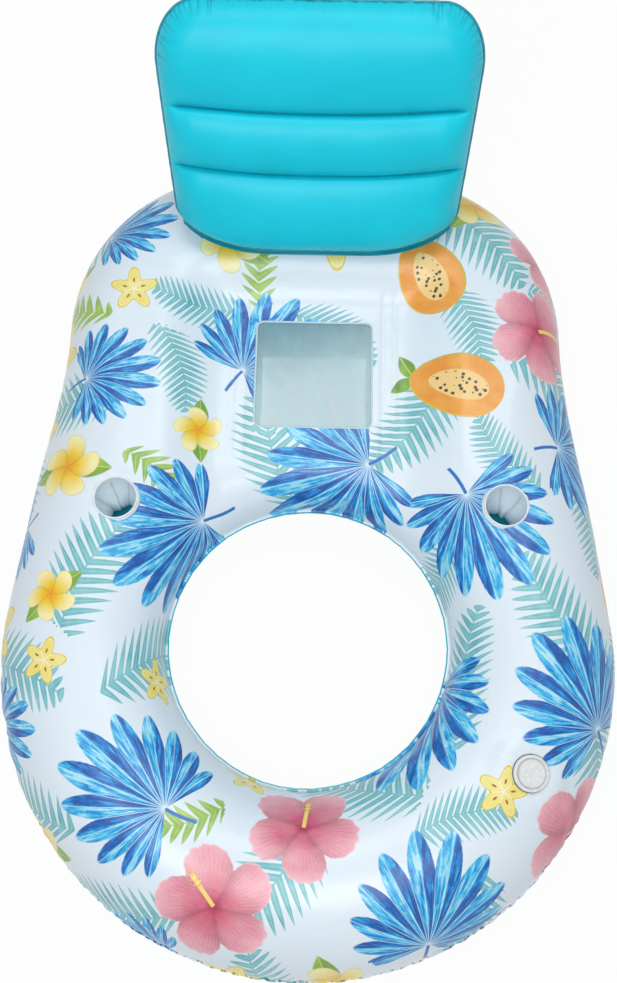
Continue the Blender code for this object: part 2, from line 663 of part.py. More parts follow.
def make_main_valve(top_sheet, sheet):
    """The flush screw valve: collar, screw-in insert with its flap, two seals and the cap."""
    start = on_tube(VALVE_BEARING, VALVE_TUBE_SHARE).to_3d()
    start.z = SEAM_HEIGHT
    frame = surface_frame(sheet, start, Vector((0.0, 0.0, 1.0)), COLLAR_RADIUS)

    def seat(x, y):
        """One clearance under the sheet."""
        return sheet.inside(frame, x, y, 1)

    def under_seat(x, y):
        """The lower face of the flange."""
        return seat(x, y) - VALVE_FLANGE_THICKNESS

    edge = COLLAR_RADIUS + VALVE_FLANGE
    inner_edge = COLLAR_RADIUS + VALVE_FLANGE_THICKNESS
    base = [(COLLAR_BORE, COLLAR_RISE), (COLLAR_BORE, -COLLAR_DEPTH), (COLLAR_RADIUS, -COLLAR_DEPTH),
            (inner_edge, under_seat), (edge, under_seat), (edge, seat), (inner_edge, seat),
            (COLLAR_RADIUS, COLLAR_RISE)]
    add_solid("main_valve_base", turned(base, VALVE_SEGMENTS), VALVE_WHITE, frame)
    hole_radius = inner_edge + GAP
    hole = [(0.0, CUT_OVERRUN), (hole_radius, CUT_OVERRUN), (hole_radius, -CUT_OVERRUN), (0.0, -CUT_OVERRUN)]
    cut(top_sheet, add_cutter("valve_cutter", turned(hole, VALVE_SEGMENTS), frame))

    seal_low = COLLAR_RISE + GAP
    seal_high = seal_low + SEAL_THICKNESS
    seal_in = COLLAR_RADIUS - SEAL_BAND
    seal = [(seal_in, seal_low), (COLLAR_RADIUS, seal_low), (COLLAR_RADIUS, seal_high), (seal_in, seal_high)]
    add_solid("main_valve_gasket", turned(seal, VALVE_SEGMENTS), SEAL_GREY, frame)

    barrel = COLLAR_BORE - GAP
    bore = barrel - INSERT_WALL
    rim_low = seal_high + GAP
    rim_high = rim_low + INSERT_RIM
    barrel_low = rim_low - INSERT_LENGTH
    spider_high = barrel_low + SPIDER_THICKNESS
    insert_profile = [(0.0, spider_high), (bore, spider_high), (bore, rim_high), (COLLAR_RADIUS, rim_high),
                      (COLLAR_RADIUS, rim_low), (barrel, rim_low), (barrel, barrel_low), (0.0, barrel_low)]
    insert = add_solid("main_valve_body", turned(insert_profile, VALVE_SEGMENTS), VALVE_WHITE, frame)
    cut(insert, add_cutter("spider_cutter", spider_openings(bore, barrel_low), frame))
    stem_hole = FLAP_STEM_RADIUS + GAP
    hub_hole = [(0.0, spider_high + SPIDER_THICKNESS), (stem_hole, spider_high + SPIDER_THICKNESS),
                (stem_hole, barrel_low - SPIDER_THICKNESS), (0.0, barrel_low - SPIDER_THICKNESS)]
    cut(insert, add_cutter("hub_cutter", turned(hub_hole, CUP_SEGMENTS // 2), frame))

    flap_high = barrel_low - GAP
    flap_low = flap_high - FLAP_THICKNESS
    flap_edge = (bore + barrel) / 2.0
    flap = [(0.0, flap_high + FLAP_STEM_LENGTH), (FLAP_STEM_RADIUS, flap_high + FLAP_STEM_LENGTH),
            (FLAP_STEM_RADIUS, flap_high), (flap_edge, flap_high), (flap_edge, flap_low), (0.0, flap_low)]
    add_solid("main_valve_flap", turned(flap, VALVE_SEGMENTS), SEAL_GREY, frame)

    cap_seal_low = rim_high + GAP
    cap_seal_high = cap_seal_low + SEAL_THICKNESS
    cap_seal_in = bore + GAP
    cap_seal = [(cap_seal_in, cap_seal_low), (COLLAR_RADIUS - SEAL_BAND, cap_seal_low),
                (COLLAR_RADIUS - SEAL_BAND, cap_seal_high), (cap_seal_in, cap_seal_high)]
    add_solid("main_valve_cap_gasket", turned(cap_seal, VALVE_SEGMENTS), SEAL_GREY, frame)

    cap_low = cap_seal_high + GAP
    cap_high = cap_low + CAP_TOP
    skirt = bore - GAP
    skirt_in = skirt - CAP_SKIRT_WALL
    skirt_low = cap_low - CAP_SKIRT_LENGTH
    dish = cap_high - CAP_DISH
    bevel = CAP_TOP / 2.0
    cap = [(0.0, dish), (COLLAR_RADIUS - 2.0 * CAP_RIM, dish), (COLLAR_RADIUS - CAP_RIM, cap_high),
           (COLLAR_RADIUS - bevel, cap_high), (COLLAR_RADIUS, cap_high - bevel), (COLLAR_RADIUS, cap_low),
           (skirt, cap_low), (skirt, skirt_low), (skirt_in, skirt_low), (skirt_in, cap_low), (0.0, cap_low)]
    add_solid("main_valve_cap", turned(cap, VALVE_SEGMENTS), VALVE_WHITE, frame)


def spider_openings(bore, barrel_low):
    """Four quarter-ring openings through the insert's floor, between the bars and round the hub."""
    bm = bmesh.new()
    reach = bore - GAP
    low = barrel_low - SPIDER_THICKNESS
    high = barrel_low + 2.0 * SPIDER_THICKNESS
    steps = VALVE_SEGMENTS // 4
    outer_skew = math.asin(SPIDER_BAR / 2.0 / reach)
    inner_skew = math.asin(SPIDER_BAR / 2.0 / SPIDER_HUB)
    for quarter in range(4):
        base_angle = quarter * math.pi / 2.0
        plan = []
        for k in range(steps + 1):
            angle = base_angle + mix(outer_skew, math.pi / 2.0 - outer_skew, k / steps)
            plan.append((reach * math.cos(angle), reach * math.sin(angle)))
        for k in range(2, -1, -1):
            angle = base_angle + mix(inner_skew, math.pi / 2.0 - inner_skew, k / 2)
            plan.append((SPIDER_HUB * math.cos(angle), SPIDER_HUB * math.sin(angle)))
        lower = [bm.verts.new((x, y, low)) for x, y in plan]
        upper = [bm.verts.new((x, y, high)) for x, y in plan]
        bm.faces.new(lower)
        bm.faces.new(upper)
        for k, vert in enumerate(lower):
            after = (k + 1) % len(plan)
            bm.faces.new((vert, lower[after], upper[after], upper[k]))
    return bm


def pillow_length():
    """Height of the backrest up its slope."""
    return sum(CHAMBER_HEIGHTS)


def pillow_levels():
    """Heights up the slope of the rows of the backrest's skin, closer at its ends."""
    lower, middle, upper = CHAMBER_HEIGHTS
    steps_low, steps_mid, steps_high = CHAMBER_STEPS
    quarter = math.pi / 2.0
    levels = [lower * (1.0 - math.cos(quarter * k / steps_low)) for k in range(steps_low)]
    levels += [lower + middle * k / steps_mid for k in range(steps_mid)]
    levels += [lower + middle + upper * math.sin(quarter * k / steps_high) for k in range(steps_high + 1)]
    return levels


def pillow_half_width(up):
    """Half width of the backrest at a height up its slope."""
    length = pillow_length()
    half = mix(PILLOW_HALF_BASE, PILLOW_HALF_TOP, up / length)
    if up < PILLOW_BASE_RISE:
        fall = 1.0 - up / PILLOW_BASE_RISE
        return half * mix(PILLOW_BASE_FLAT_SHARE, 1.0, math.sqrt(1.0 - fall * fall))
    corner = length - PILLOW_CORNER
    if up > corner:
        past = min((up - corner) / PILLOW_CORNER, 1.0)
        return half - PILLOW_CORNER * (1.0 - math.sqrt(1.0 - past * past))
    return half


def pillow_depth(x, up):
    """Half thickness of the backrest: three arched chambers that close at the seam all round."""
    low = 0.0
    ends = (0.0, CREASE_SHARE, CREASE_SHARE, 0.0)
    arch = 0.0
    for index, height in enumerate(CHAMBER_HEIGHTS):
        if up <= low + height or index == len(CHAMBER_HEIGHTS) - 1:
            along = min(max((up - low) / height, 0.0), 1.0)
            floor = mix(ends[index], ends[index + 1], along)
            arch = mix(floor, 1.0, math.sqrt(max(1.0 - (2.0 * along - 1.0) ** 2, 0.0)))
            break
        low += height
    half = pillow_half_width(up)
    past = (abs(x) - (half - PILLOW_SIDE_ROUND)) / PILLOW_SIDE_ROUND
    side = math.sqrt(max(1.0 - max(past, 0.0) ** 2, 0.0))
    return PILLOW_THICKNESS / 2.0 * arch * side


def pillow_wrap(x, up):
    """How far the backrest's lower corners wrap back round the ring's head."""
    straight = PILLOW_HALF_BASE * PILLOW_BASE_FLAT_SHARE
    past = max(abs(x) - straight, 0.0) / (PILLOW_HALF_BASE - straight)
    fade = 1.0 - up / pillow_length()
    return -PILLOW_WRAP * past * past * fade * fade


def pillow_skin(side):
    """Outer surface of the front or the back sheet, with a weld lip all round."""
    levels = pillow_levels()
    rows = []
    for index, up in enumerate([levels[0]] + levels + [levels[-1]]):
        shift = -LIP if index == 0 else LIP if index == len(levels) + 1 else 0.0
        half = pillow_half_width(up)
        row = []
        for column in range(PILLOW_COLUMNS + 1):
            share = math.sin(math.pi / 2.0 * (2.0 * column / PILLOW_COLUMNS - 1.0))
            x = half * share
            depth = 0.0 if shift else pillow_depth(x, up)
            if column in (0, PILLOW_COLUMNS):
                depth = 0.0
            row.append((x, up + shift, side * (GAP + SHEET + depth) + pillow_wrap(x, up)))
        lip_left = (row[0][0] - LIP, row[0][1], row[0][2])
        lip_right = (row[-1][0] + LIP, row[-1][1], row[-1][2])
        rows.append([lip_left] + row + [lip_right])
    if side < 0:
        rows.reverse()
    return skin(rows, False)


def make_backrest(sheets):
    """The three-chamber backrest: two sheets, two tie strips inside, and its weld to the ring."""
    crown = SEAM_HEIGHT + CROWN_RISE
    axis_point = Vector((0.0, BACKREST_Y, crown + BACKREST_LIFT))
    frame = Matrix.Translation(axis_point) @ Matrix.Rotation(BACKREST_LEAN, 4, "X")
    front = pillow_skin(1)
    back = pillow_skin(-1)
    front_world = front.copy()
    back_world = back.copy()
    front_world.transform(frame)
    back_world.transform(frame)
    pillow_sheets = Sheet(front_world), Sheet(back_world)
    front_world.free()
    back_world.free()
    front_sheet = add_object("backrest_front_sheet", front, TEAL, frame)
    back_sheet = add_object("backrest_back_sheet", back, TEAL, frame)
    thicken(front_sheet, False)
    thicken(back_sheet, False)

    reach = PILLOW_HALF_BASE - PILLOW_TIE_INSET
    stations = [mix(-reach, reach, k / (TIE_STATIONS - 1)) for k in range(TIE_STATIONS)]
    heights = (CHAMBER_HEIGHTS[0], CHAMBER_HEIGHTS[0] + CHAMBER_HEIGHTS[1])
    for name, up in zip(("backrest_lower_baffle", "backrest_upper_baffle"), heights):
        across = frame @ Matrix.Translation((0.0, up, 0.0)) @ Matrix.Rotation(math.pi / 2.0, 4, "Z")
        tie_strip(name, across, PILLOW_TIE_HALF, stations, pillow_sheets, INNER_VINYL)
    make_weld_strip(axis_point, sheets[0])
    make_stem_valve(frame, back_sheet, pillow_sheets[1])


def make_weld_strip(axis_point, sheet):
    """The strip on the ring whose upright fin carries the backrest's lower seam."""
    reach = PILLOW_HALF_BASE * PILLOW_BASE_FLAT_SHARE
    spacing = 2.0 * reach / (WELD_STATIONS - 1)
    seam = GAP + SHEET
    fin_top = axis_point.z - seam - 3.0 * GAP
    fin_front = axis_point.y + seam + GAP
    fin_back = fin_front + 2.0 * SHEET
    front = axis_point.y - WELD_HALF_WIDTH
    back = axis_point.y + WELD_HALF_WIDTH
    loops = []
    for k in range(WELD_STATIONS):
        x = -reach + spacing * k
        heights = []
        for i in range(TIE_SAMPLES):
            for j in range(TIE_SAMPLES):
                px = min(max(mix(x - spacing, x + spacing, i / (TIE_SAMPLES - 1)), -reach), reach)
                py = mix(front, back, j / (TIE_SAMPLES - 1))
                point, _normal = sheet.hit(Vector((px, py, SEAM_HEIGHT)), Vector((0.0, 0.0, 1.0)))
                heights.append(point.z)
        low = max(heights) + GAP
        high = low + SHEET
        loops.append([(x, front, low), (x, back, low), (x, back, high), (x, fin_back, high),
                      (x, fin_back, fin_top), (x, fin_front, fin_top), (x, fin_front, high),
                      (x, front, high)])
    add_solid("backrest_weld_strip", swept(loops), TEAL)


def make_stem_valve(pillow_frame, back_sheet, sheet):
    """The small push-in valve on the back of the lower chamber."""
    start = pillow_frame @ Vector((STEM_X, STEM_UP, 0.0))
    backwards = pillow_frame.to_3x3() @ Vector((0.0, 0.0, -1.0))
    frame = surface_frame(sheet, start, backwards, STEM_HEAD_RADIUS)

    def seat(x, y):
        """One clearance inside the back sheet."""
        return sheet.inside(frame, x, y, 1)

    def under_seat(x, y):
        """The inner face of the flange."""
        return seat(x, y) - SHEET

    collar_in = STEM_RADIUS + GAP
    collar_out = collar_in + STEM_COLLAR_WALL
    flange = [(collar_in, SHEET), (collar_in, -STEM_COLLAR_DEPTH), (collar_out, -STEM_COLLAR_DEPTH),
              (collar_out + SHEET, under_seat), (collar_out + STEM_FLANGE, under_seat),
              (collar_out + STEM_FLANGE, seat), (collar_out + SHEET, seat), (collar_out, SHEET)]
    add_solid("backrest_valve_flange", turned(flange, STEM_SEGMENTS), TEAL, frame)
    hole_radius = collar_out + SHEET + GAP
    hole_top = STEM_OUT
    hole = [(0.0, hole_top), (hole_radius, hole_top), (hole_radius, -hole_top), (0.0, -hole_top)]
    cut(back_sheet, add_cutter("stem_cutter", turned(hole, STEM_SEGMENTS), frame))

    head_low = STEM_OUT - STEM_HEAD
    stem = [(STEM_BORE, STEM_OUT), (STEM_BORE, -STEM_IN), (STEM_RADIUS, -STEM_IN), (STEM_RADIUS, head_low),
            (STEM_HEAD_RADIUS, head_low), (STEM_HEAD_RADIUS, STEM_OUT)]
    add_solid("backrest_valve_stem", turned(stem, STEM_SEGMENTS), TEAL, frame)
    flap_high = -STEM_IN - GAP
    flap_low = flap_high - STEM_FLAP_THICKNESS
    flap = [(0.0, flap_high), (STEM_RADIUS, flap_high), (STEM_RADIUS, flap_low), (0.0, flap_low)]
    add_solid("backrest_valve_flap", turned(flap, STEM_SEGMENTS), TEAL, frame)
    pin = STEM_BORE - GAP
    head = STEM_OUT + GAP
    top = head + PLUG_HEAD
    pin_low = head - PLUG_PIN_LENGTH
    plug = [(0.0, top), (PLUG_HEAD_RADIUS - PLUG_HEAD / 2.0, top), (PLUG_HEAD_RADIUS, top - PLUG_HEAD / 2.0),
            (PLUG_HEAD_RADIUS, head), (pin, head), (pin, pin_low), (0.0, pin_low)]
    add_solid("backrest_valve_plug", turned(plug, STEM_SEGMENTS), TEAL, frame)


def stand_on_origin():
    """Move the chair so that the origin is the bottom centre of its box."""
    bpy.context.view_layer.update()
    pieces = [obj for obj in bpy.data.objects if not obj.hide_render]
    corners = [obj.matrix_world @ vert.co for obj in pieces for vert in obj.data.vertices]
    low = Vector(min(corner[axis] for corner in corners) for axis in range(3))
    high = Vector(max(corner[axis] for corner in corners) for axis in range(3))
    shift = Vector((-(low.x + high.x) / 2.0, -(low.y + high.y) / 2.0, -low.z))
    for obj in bpy.data.objects:
        obj.matrix_world = Matrix.Translation(shift) @ obj.matrix_world


def main():
    """Build the chair."""
    clear_scene()
    top_sheet, bottom_sheet, sheets = make_ring_sheets()
    make_seat(top_sheet, bottom_sheet, sheets)
    make_seat_ties(sheets)
    for side, sign in (("left", -1.0), ("right", 1.0)):
        make_cup(side, sign, top_sheet, sheets[0])
    make_main_valve(top_sheet, sheets[0])
    make_backrest(sheets)
    stand_on_origin()


main()
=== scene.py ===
"""Inflatable pool chair, dressed: printed ring, net seat window, cup holders, screw valve, backrest."""
import json
import math

import bmesh
import bpy
import numpy as np
from bpy.props import FloatProperty, FloatVectorProperty, IntProperty, PointerProperty
from mathutils import Matrix, Vector
from mathutils.bvhtree import BVHTree


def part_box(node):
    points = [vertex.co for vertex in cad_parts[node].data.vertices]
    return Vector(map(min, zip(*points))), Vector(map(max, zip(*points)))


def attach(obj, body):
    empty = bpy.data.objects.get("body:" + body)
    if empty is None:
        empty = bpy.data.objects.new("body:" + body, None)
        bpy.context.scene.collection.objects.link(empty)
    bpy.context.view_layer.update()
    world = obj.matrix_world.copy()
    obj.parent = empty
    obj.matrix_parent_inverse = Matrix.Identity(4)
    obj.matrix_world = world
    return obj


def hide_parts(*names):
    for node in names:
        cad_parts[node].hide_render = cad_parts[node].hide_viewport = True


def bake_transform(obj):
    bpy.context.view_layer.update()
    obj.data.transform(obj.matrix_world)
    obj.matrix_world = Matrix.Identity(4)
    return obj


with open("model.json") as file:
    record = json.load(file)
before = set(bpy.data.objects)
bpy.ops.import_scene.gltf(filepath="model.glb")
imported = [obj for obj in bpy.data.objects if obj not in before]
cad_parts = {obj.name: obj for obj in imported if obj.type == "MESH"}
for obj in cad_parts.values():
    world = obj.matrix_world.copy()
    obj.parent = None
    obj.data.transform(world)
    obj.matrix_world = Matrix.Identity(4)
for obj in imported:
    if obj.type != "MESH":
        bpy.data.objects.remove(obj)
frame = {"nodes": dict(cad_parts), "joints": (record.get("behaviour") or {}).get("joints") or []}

bl_info = {
    "name": "Inflatable pool chair",
    "version": (1, 0, 0),
    "blender": (4, 5, 0),
    "location": "3D View > Sidebar > Pool chair",
    "description": "Dresses the packed pool chair with films, print, net, cup holders, valves and backrest",
    "category": "Object",
}

# Plan and section of the ring, as the source of the solids gives them
SHEET = 0.0004
LIP = 0.004
HOLE_LIP_SHOWN = 0.0024
LEG_HOLE_RADIUS = 0.244
FOOT_RADIUS = 0.5215
FOOT_SHIFT = 0.018
SIDE_START = math.radians(6)
SIDE_HANDLE_SHARES = (0.43, 0.19)
HEAD_HALF_WIDTH = 0.4495
HEAD_CENTRE_Y = 0.556
HEAD_LENGTH = 0.37
HEAD_POWER = 2.25
SEAM_HEIGHT = 0.125
CROWN_RISE = 0.125
BELLY_DROP = 0.130
OUTER_SEAM_ANGLE = math.radians(-6)
TUBE_SPAN = 0.30
MATTRESS_SPAN = 0.55
SEAT_FRONT_ROUND = 0.105
HEAD_ROUND = 0.150
SEAT_FULLNESS_SHARE = 0.62
SEAT_HALF_WIDTH = 0.155
SEAT_SIDE_BLEND = 0.115
SEAT_FOOT_Y = 0.20
SEAT_FOOT_BLEND = 0.12
SEAT_HEAD_Y = 0.60
SEAT_HEAD_BLEND = 0.09
WINDOW_Y = 0.472
WINDOW_HALF_WIDTH = 0.103
WINDOW_HALF_LENGTH = 0.100
WINDOW_CORNER = 0.012
TIE_X = 0.133
TIE_START_Y = 0.300
TIE_END_Y = 0.620
TIE_GROOVE_BESIDE = 0.0105
TIE_GROOVE_WIDTH = 0.0030
TIE_GROOVE_DEPTH = 0.0022
TIE_DIP_WIDTH = 0.026
TIE_RIPPLE = 0.0006
CUP_RADIUS = 0.0355
CUP_FLOOR_RADIUS = 0.0315
CUP_FLANGE = 0.0060
CUP_DRAW = 0.0022
CUP_DRAW_WAVE = 0.0007
CUP_SLEEVES = ("left_cup_sleeve", "right_cup_sleeve")
COLLAR_RADIUS = 0.0295
COLLAR_BORE = 0.0260
COLLAR_STAND = 0.0002
COLLAR_CREASE = 0.0011
OPENING_GAP = 0.0006
WINDOW_GROW = 0.002
PUCKER_WIDTH = 0.0055
UP = Vector((0.0, 0.0, 1.0))

# Backrest, in its own plane: across, up the slope and towards the sitter
BACKREST_Y = 0.690
BACKREST_LEAN = math.radians(55)
CHAMBER_HEIGHTS = (0.151, 0.106, 0.166)
PILLOW_LENGTH = sum(CHAMBER_HEIGHTS)
PILLOW_THICKNESS = 0.096
PILLOW_HALF_TOP = 0.270
PILLOW_HALF_BASE = 0.243
PILLOW_CORNER_WIDTH = 0.078
PILLOW_CORNER_HEIGHT = 0.105
PILLOW_SIDE_ROUND = 0.055
PILLOW_BASE_RISE = 0.060
PILLOW_BASE_FLAT_SHARE = 0.30
PILLOW_WRAP = 0.040
BASE_POWER = 2.6
CREASE_SHARE = 0.46
CREASE_REACH = 0.21
CREASE_HELD = 0.222
CREASE_END = 0.264
PINCH_DEPTH = 0.0030
PINCH_WIDTH = 0.0040
PINCH_START = 0.228
PINCH_END = 0.250
PILLOW_TIE_REACH = 0.183
WELD_HALF_WIDTH = 0.012
WEB_REACH = 0.240
SHOWN_LINE = 0.0014
WEB_ROOT_DROP = 0.0006
WEB_LEAST_REACH = 0.0016
FIN_HALF = 0.0005
VIEW_ELEVATION = math.radians(72.53)
VIEW_BACK = math.sin(VIEW_ELEVATION)
VIEW_DOWN = math.cos(VIEW_ELEVATION)

# The screw valve's and the push-in valve's own heights and radii
RIM_RADIUS = COLLAR_RADIUS - 0.0003
INSERT_BORE = 0.0225
BARREL_RADIUS = 0.0251
HUB_RADIUS = 0.0040
SPIDER_WIDTH = 0.0030
SPIDER_HEIGHT = 0.0014
SEAL_LOW = 0.0015
SEAL_HIGH = 0.0025
INSERT_LOW = 0.0028
INSERT_HIGH = 0.0044
INSERT_FOOT = -0.0107
CAP_LOW = 0.0060
CAP_HIGH = 0.0086
STEM_IN = 0.012
STEM_OUT = 0.014
STEM_RADIUS = 0.0062
STEM_BORE = 0.0040
FLAP_BELOW_STEM = 0.0007
VALVE_HOLE_DEPTH = 0.034

# Stations of the films and of the screw threads
THREAD_STEPS = 72
EDGE_DENSITY = 240
ARC_DENSITY = 60
OUTER_FINE_REACH = 0.060
OUTER_FINE_ROWS = 15

JOINTS = {joint["name"]: joint for joint in frame["joints"]}
HINGE = Vector(JOINTS["backrest_fold"]["pos_m"])
SHIFT = Vector((0.0, HINGE.y - BACKREST_Y, 0.0))
VALVE_POINT = Vector(JOINTS["valve_insert_turn"]["pos_m"])
VALVE_AXIS = Vector(JOINTS["valve_insert_turn"]["axis"]).normalized()
STEM_AXIS = Vector(JOINTS["stem_push_in"]["axis"]).normalized()


def ease(value, start, end):
    """Ease from 0 at start to 1 at end."""
    share = np.clip((value - start) / (end - start), 0.0, 1.0)
    return share * share * (3.0 - 2.0 * share)


def mix(low, high, share):
    """Blend two values."""
    return low + (high - low) * share


def unit(vectors):
    """Vectors of length one."""
    return vectors / np.maximum(np.linalg.norm(vectors, axis=-1, keepdims=True), 1e-12)


def middle(node):
    """The middle of a node's box in the drawing's own place."""
    low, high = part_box(node)
    return (Vector(low) + Vector(high)) / 2.0 - SHIFT


# Shader maths
class Value:
    """A number that a material works out, written with the usual signs."""

    def __init__(self, look, socket):
        self.look = look
        self.socket = socket

    def __add__(self, other):
        return self.look.maths("ADD", self, other)

    __radd__ = __add__

    def __sub__(self, other):
        return self.look.maths("SUBTRACT", self, other)

    def __rsub__(self, other):
        return self.look.maths("SUBTRACT", other, self)

    def __mul__(self, other):
        return self.look.maths("MULTIPLY", self, other)

    __rmul__ = __mul__

    def __truediv__(self, other):
        return self.look.maths("DIVIDE", self, other)

    def __pow__(self, other):
        return self.look.maths("POWER", self, other)

    def size(self):
        """Its distance from zero."""
        return self.look.maths("ABSOLUTE", self)

    def below(self, limit, soft=0.02):
        """1 where the number is under a limit, with a soft edge."""
        return self.look.maths("MULTIPLY", limit - self, 1.0 / soft, clamp=True)

    def above(self, limit, soft=0.02):
        """1 where the number is over a limit, with a soft edge."""
        return self.look.maths("MULTIPLY", self - limit, 1.0 / soft, clamp=True)

    def clamped(self):
        """Kept between 0 and 1."""
        return self.look.maths("ADD", self, 0.0, clamp=True)

    def stretched(self, gain):
        """Moved away from a half by a gain, and kept between 0 and 1."""
        return (self * gain - (gain - 1.0) / 2.0).clamped()

    def arc(self):
        """The height of a half circle this far from its middle."""
        return self.look.maths("SQRT", (1.0 - self * self).clamped())

    def striped(self):
        """Cut into stripes one wide: 0 in a stripe's middle and 1 at its edges, and the share across it."""
        share = self.look.maths("FRACT", self)
        return (share * 2.0 - 1.0).size(), share


class Look:
    """A material, or the world, and the few ways in which its nodes are added."""

    def __init__(self, holder, shader="Principled BSDF"):
        self.material = bpy.data.materials.new(holder) if isinstance(holder, str) else holder
        self.material.use_nodes = True
        self.tree = self.material.node_tree
        self.shader = self.tree.nodes[shader]

    def node(self, kind, settings=None, inputs=None):
        """Add a node, set it up, and fill or link its inputs."""
        made = self.tree.nodes.new("ShaderNode" + kind)
        for name, value in (settings or {}).items():
            if name == "stops":
                for place, (position, colour) in enumerate(value):
                    stops = made.color_ramp.elements
                    stop = stops[place] if place < len(stops) else stops.new(position)
                    stop.position = position
                    stop.color = linear(colour)
            else:
                setattr(made, name, value)
        for name, value in (inputs or {}).items():
            self.feed(made.inputs[name], value)
        return made

    def feed(self, socket, value):
        """Link a value to a socket, or set a plain number or a colour's code on it."""
        if isinstance(value, (Value, bpy.types.NodeSocket)):
            self.tree.links.new(getattr(value, "socket", value), socket)
        else:
            socket.default_value = linear(value) if isinstance(value, str) else value

    def maths(self, operation, *values, clamp=False):
        """One Math node."""
        settings = {"operation": operation, "use_clamp": clamp}
        return Value(self, self.node("Math", settings, dict(enumerate(values))).outputs[0])

    def colour(self, factor, low, high):
        """A mix of two colours."""
        return self.node("Mix", {"data_type": "RGBA"}, {0: factor, 6: low, 7: high}).outputs[2]

    def painted(self, base, *layers):
        """A colour with others laid over it, each where its mask is 1."""
        for mask, colour in layers:
            base = self.colour(mask, base, colour)
        return base

    def shade(self, colour, factor):
        """A colour made darker or lighter by a factor."""
        return self.node("VectorMath", {"operation": "SCALE"}, {0: colour, 3: factor}).outputs[0]

    def split(self, vector):
        """The three numbers of a vector."""
        made = self.node("SeparateXYZ", None, {0: vector})
        return [Value(self, made.outputs[k]) for k in range(3)]

    def attribute(self, name):
        """A vector stored on the mesh."""
        return self.node("Attribute", {"attribute_name": name}).outputs["Vector"]

    def seen(self):
        """1 where the camera looks, straight or by way of gloss or clear film, and 0 for all other light."""
        path = self.node("LightPath")
        rays = [path.outputs["Is %s Ray" % kind] for kind in ("Camera", "Glossy", "Transmission")]
        return self.maths("MAXIMUM", self.maths("MAXIMUM", rays[0], rays[1]), rays[2])

    def places(self):
        """The object's own coordinates."""
        return self.node("TexCoord").outputs["Object"]

    def noise(self, place, scale, detail=2.0, roughness=0.5):
        """Soft noise between 0 and 1."""
        inputs = {"Vector": place, "Scale": scale, "Detail": detail, "Roughness": roughness}
        return Value(self, self.node("TexNoise", None, inputs).outputs[0])

    def cells(self, place, scale):
        """Distance to the nearest of many scattered points."""
        made = self.node("TexVoronoi", None, {"Vector": place, "Scale": scale})
        return Value(self, made.outputs["Distance"])

    def creases(self, seam, scale, reach):
        """Short sharp creases that run in from a seam: 1 in the middle of each and 0 between them."""
        along, away, strength = self.split(seam)
        line = self.node("CombineXYZ", None, {0: along}).outputs[0]
        lean = self.noise(line, 9.0, 1.0) - 0.5
        inputs = {"W": along + away * lean, "Scale": scale}
        ticks = self.node("TexVoronoi", {"voronoi_dimensions": "1D"}, inputs)
        length = self.noise(line, 37.0, 1.0) * reach
        fade = (1.0 - away / length).clamped()
        return Value(self, ticks.outputs["Distance"]).below(fade * 0.15 + 0.02, 0.15) * fade * strength

    def relief(self, height, distance, strength=1.0):
        """Let a height in units of distance bend the light."""
        inputs = {"Height": height, "Distance": distance, "Strength": strength}
        self.feed(self.shader.inputs["Normal"], self.node("Bump", None, inputs).outputs[0])

    def finish(self, colour, roughness, coat=0.0, coat_roughness=0.08, specular=0.5):
        """Give the shader its colour, roughness and gloss coat."""
        self.feed(self.shader.inputs["Base Color"], colour)
        self.feed(self.shader.inputs["Roughness"], roughness)
        self.shader.inputs["Coat Weight"].default_value = coat
        self.shader.inputs["Coat Roughness"].default_value = coat_roughness
        self.shader.inputs["Specular IOR Level"].default_value = specular
        return self.material


def linear(code):
    """A colour written as six hexadecimal digits, in the renderer's own numbers."""
    parts = [int(code[k:k + 2], 16) / 255.0 for k in (0, 2, 4)]
    return (*(c / 12.92 if c <= 0.04045 else ((c + 0.055) / 1.055) ** 2.4 for c in parts), 1.0)


# The print
FAN, HIBISCUS, PLUMERIA, STARFRUIT, PAPAYA, FERN, SPRIG = range(1, 8)


class Motif:
    """One motif's own coordinates, its kind, and the wash and grain of its paint."""

    def __init__(self, look, name):
        self.look = look
        self.across, self.up, self.kind = look.split(look.attribute(name))
        self.place = look.attribute("film")
        self.wash = look.noise(self.place, 24.0, 3.0, 0.6)
        self.grain = look.noise(self.place, 90.0, 2.0)

    def polar(self, across, up):
        """Distance from the middle and bearing from the top of a point."""
        return (self.look.maths("SQRT", across * across + up * up), self.look.maths("ARCTAN2", across, up))

    def turned(self, angle, from_x=0.0, from_y=0.0):
        """Coordinates along and across a direction, from a point."""
        x = self.across - from_x
        y = self.up - from_y
        along = x * math.sin(angle) + y * math.cos(angle)
        beside = x * math.cos(angle) - y * math.sin(angle)
        return along, beside

    def of(self, kind):
        """1 where the motif is of this kind."""
        return self.look.maths("COMPARE", self.kind, float(kind), 0.5)


def petals(bearing):
    """0 along the middle of each of five petals and 1 between them, and the share across the petal."""
    return (bearing * (5.0 / math.tau) + 0.5).striped()


def leaf_mask(motif, angle, length, width, from_x=0.0, from_y=0.0):
    """A pointed leaf from a point in a direction, its midrib and its darker half."""
    along, beside = motif.turned(angle, from_x, from_y)
    share = along / length
    profile = (share * (1.0 - share)).clamped() * 4.0 * (1.25 - share * 0.5)
    inside = (beside.size() / width).below(profile, 0.10) * along.above(0.0, 0.01)
    rib = beside.size().below(0.014, 0.012)
    return inside, rib, beside.above(0.0, 0.02)


def leaf_colours(motif, low, high, rib_colour, rib, half):
    """Washed leaf colour with a pale midrib and one darker half."""
    look = motif.look
    base = look.colour(motif.wash.stretched(1.7), low, high)
    base = look.shade(base, 1.0 - half * 0.18)
    return look.colour(rib * 0.7, base, rib_colour)


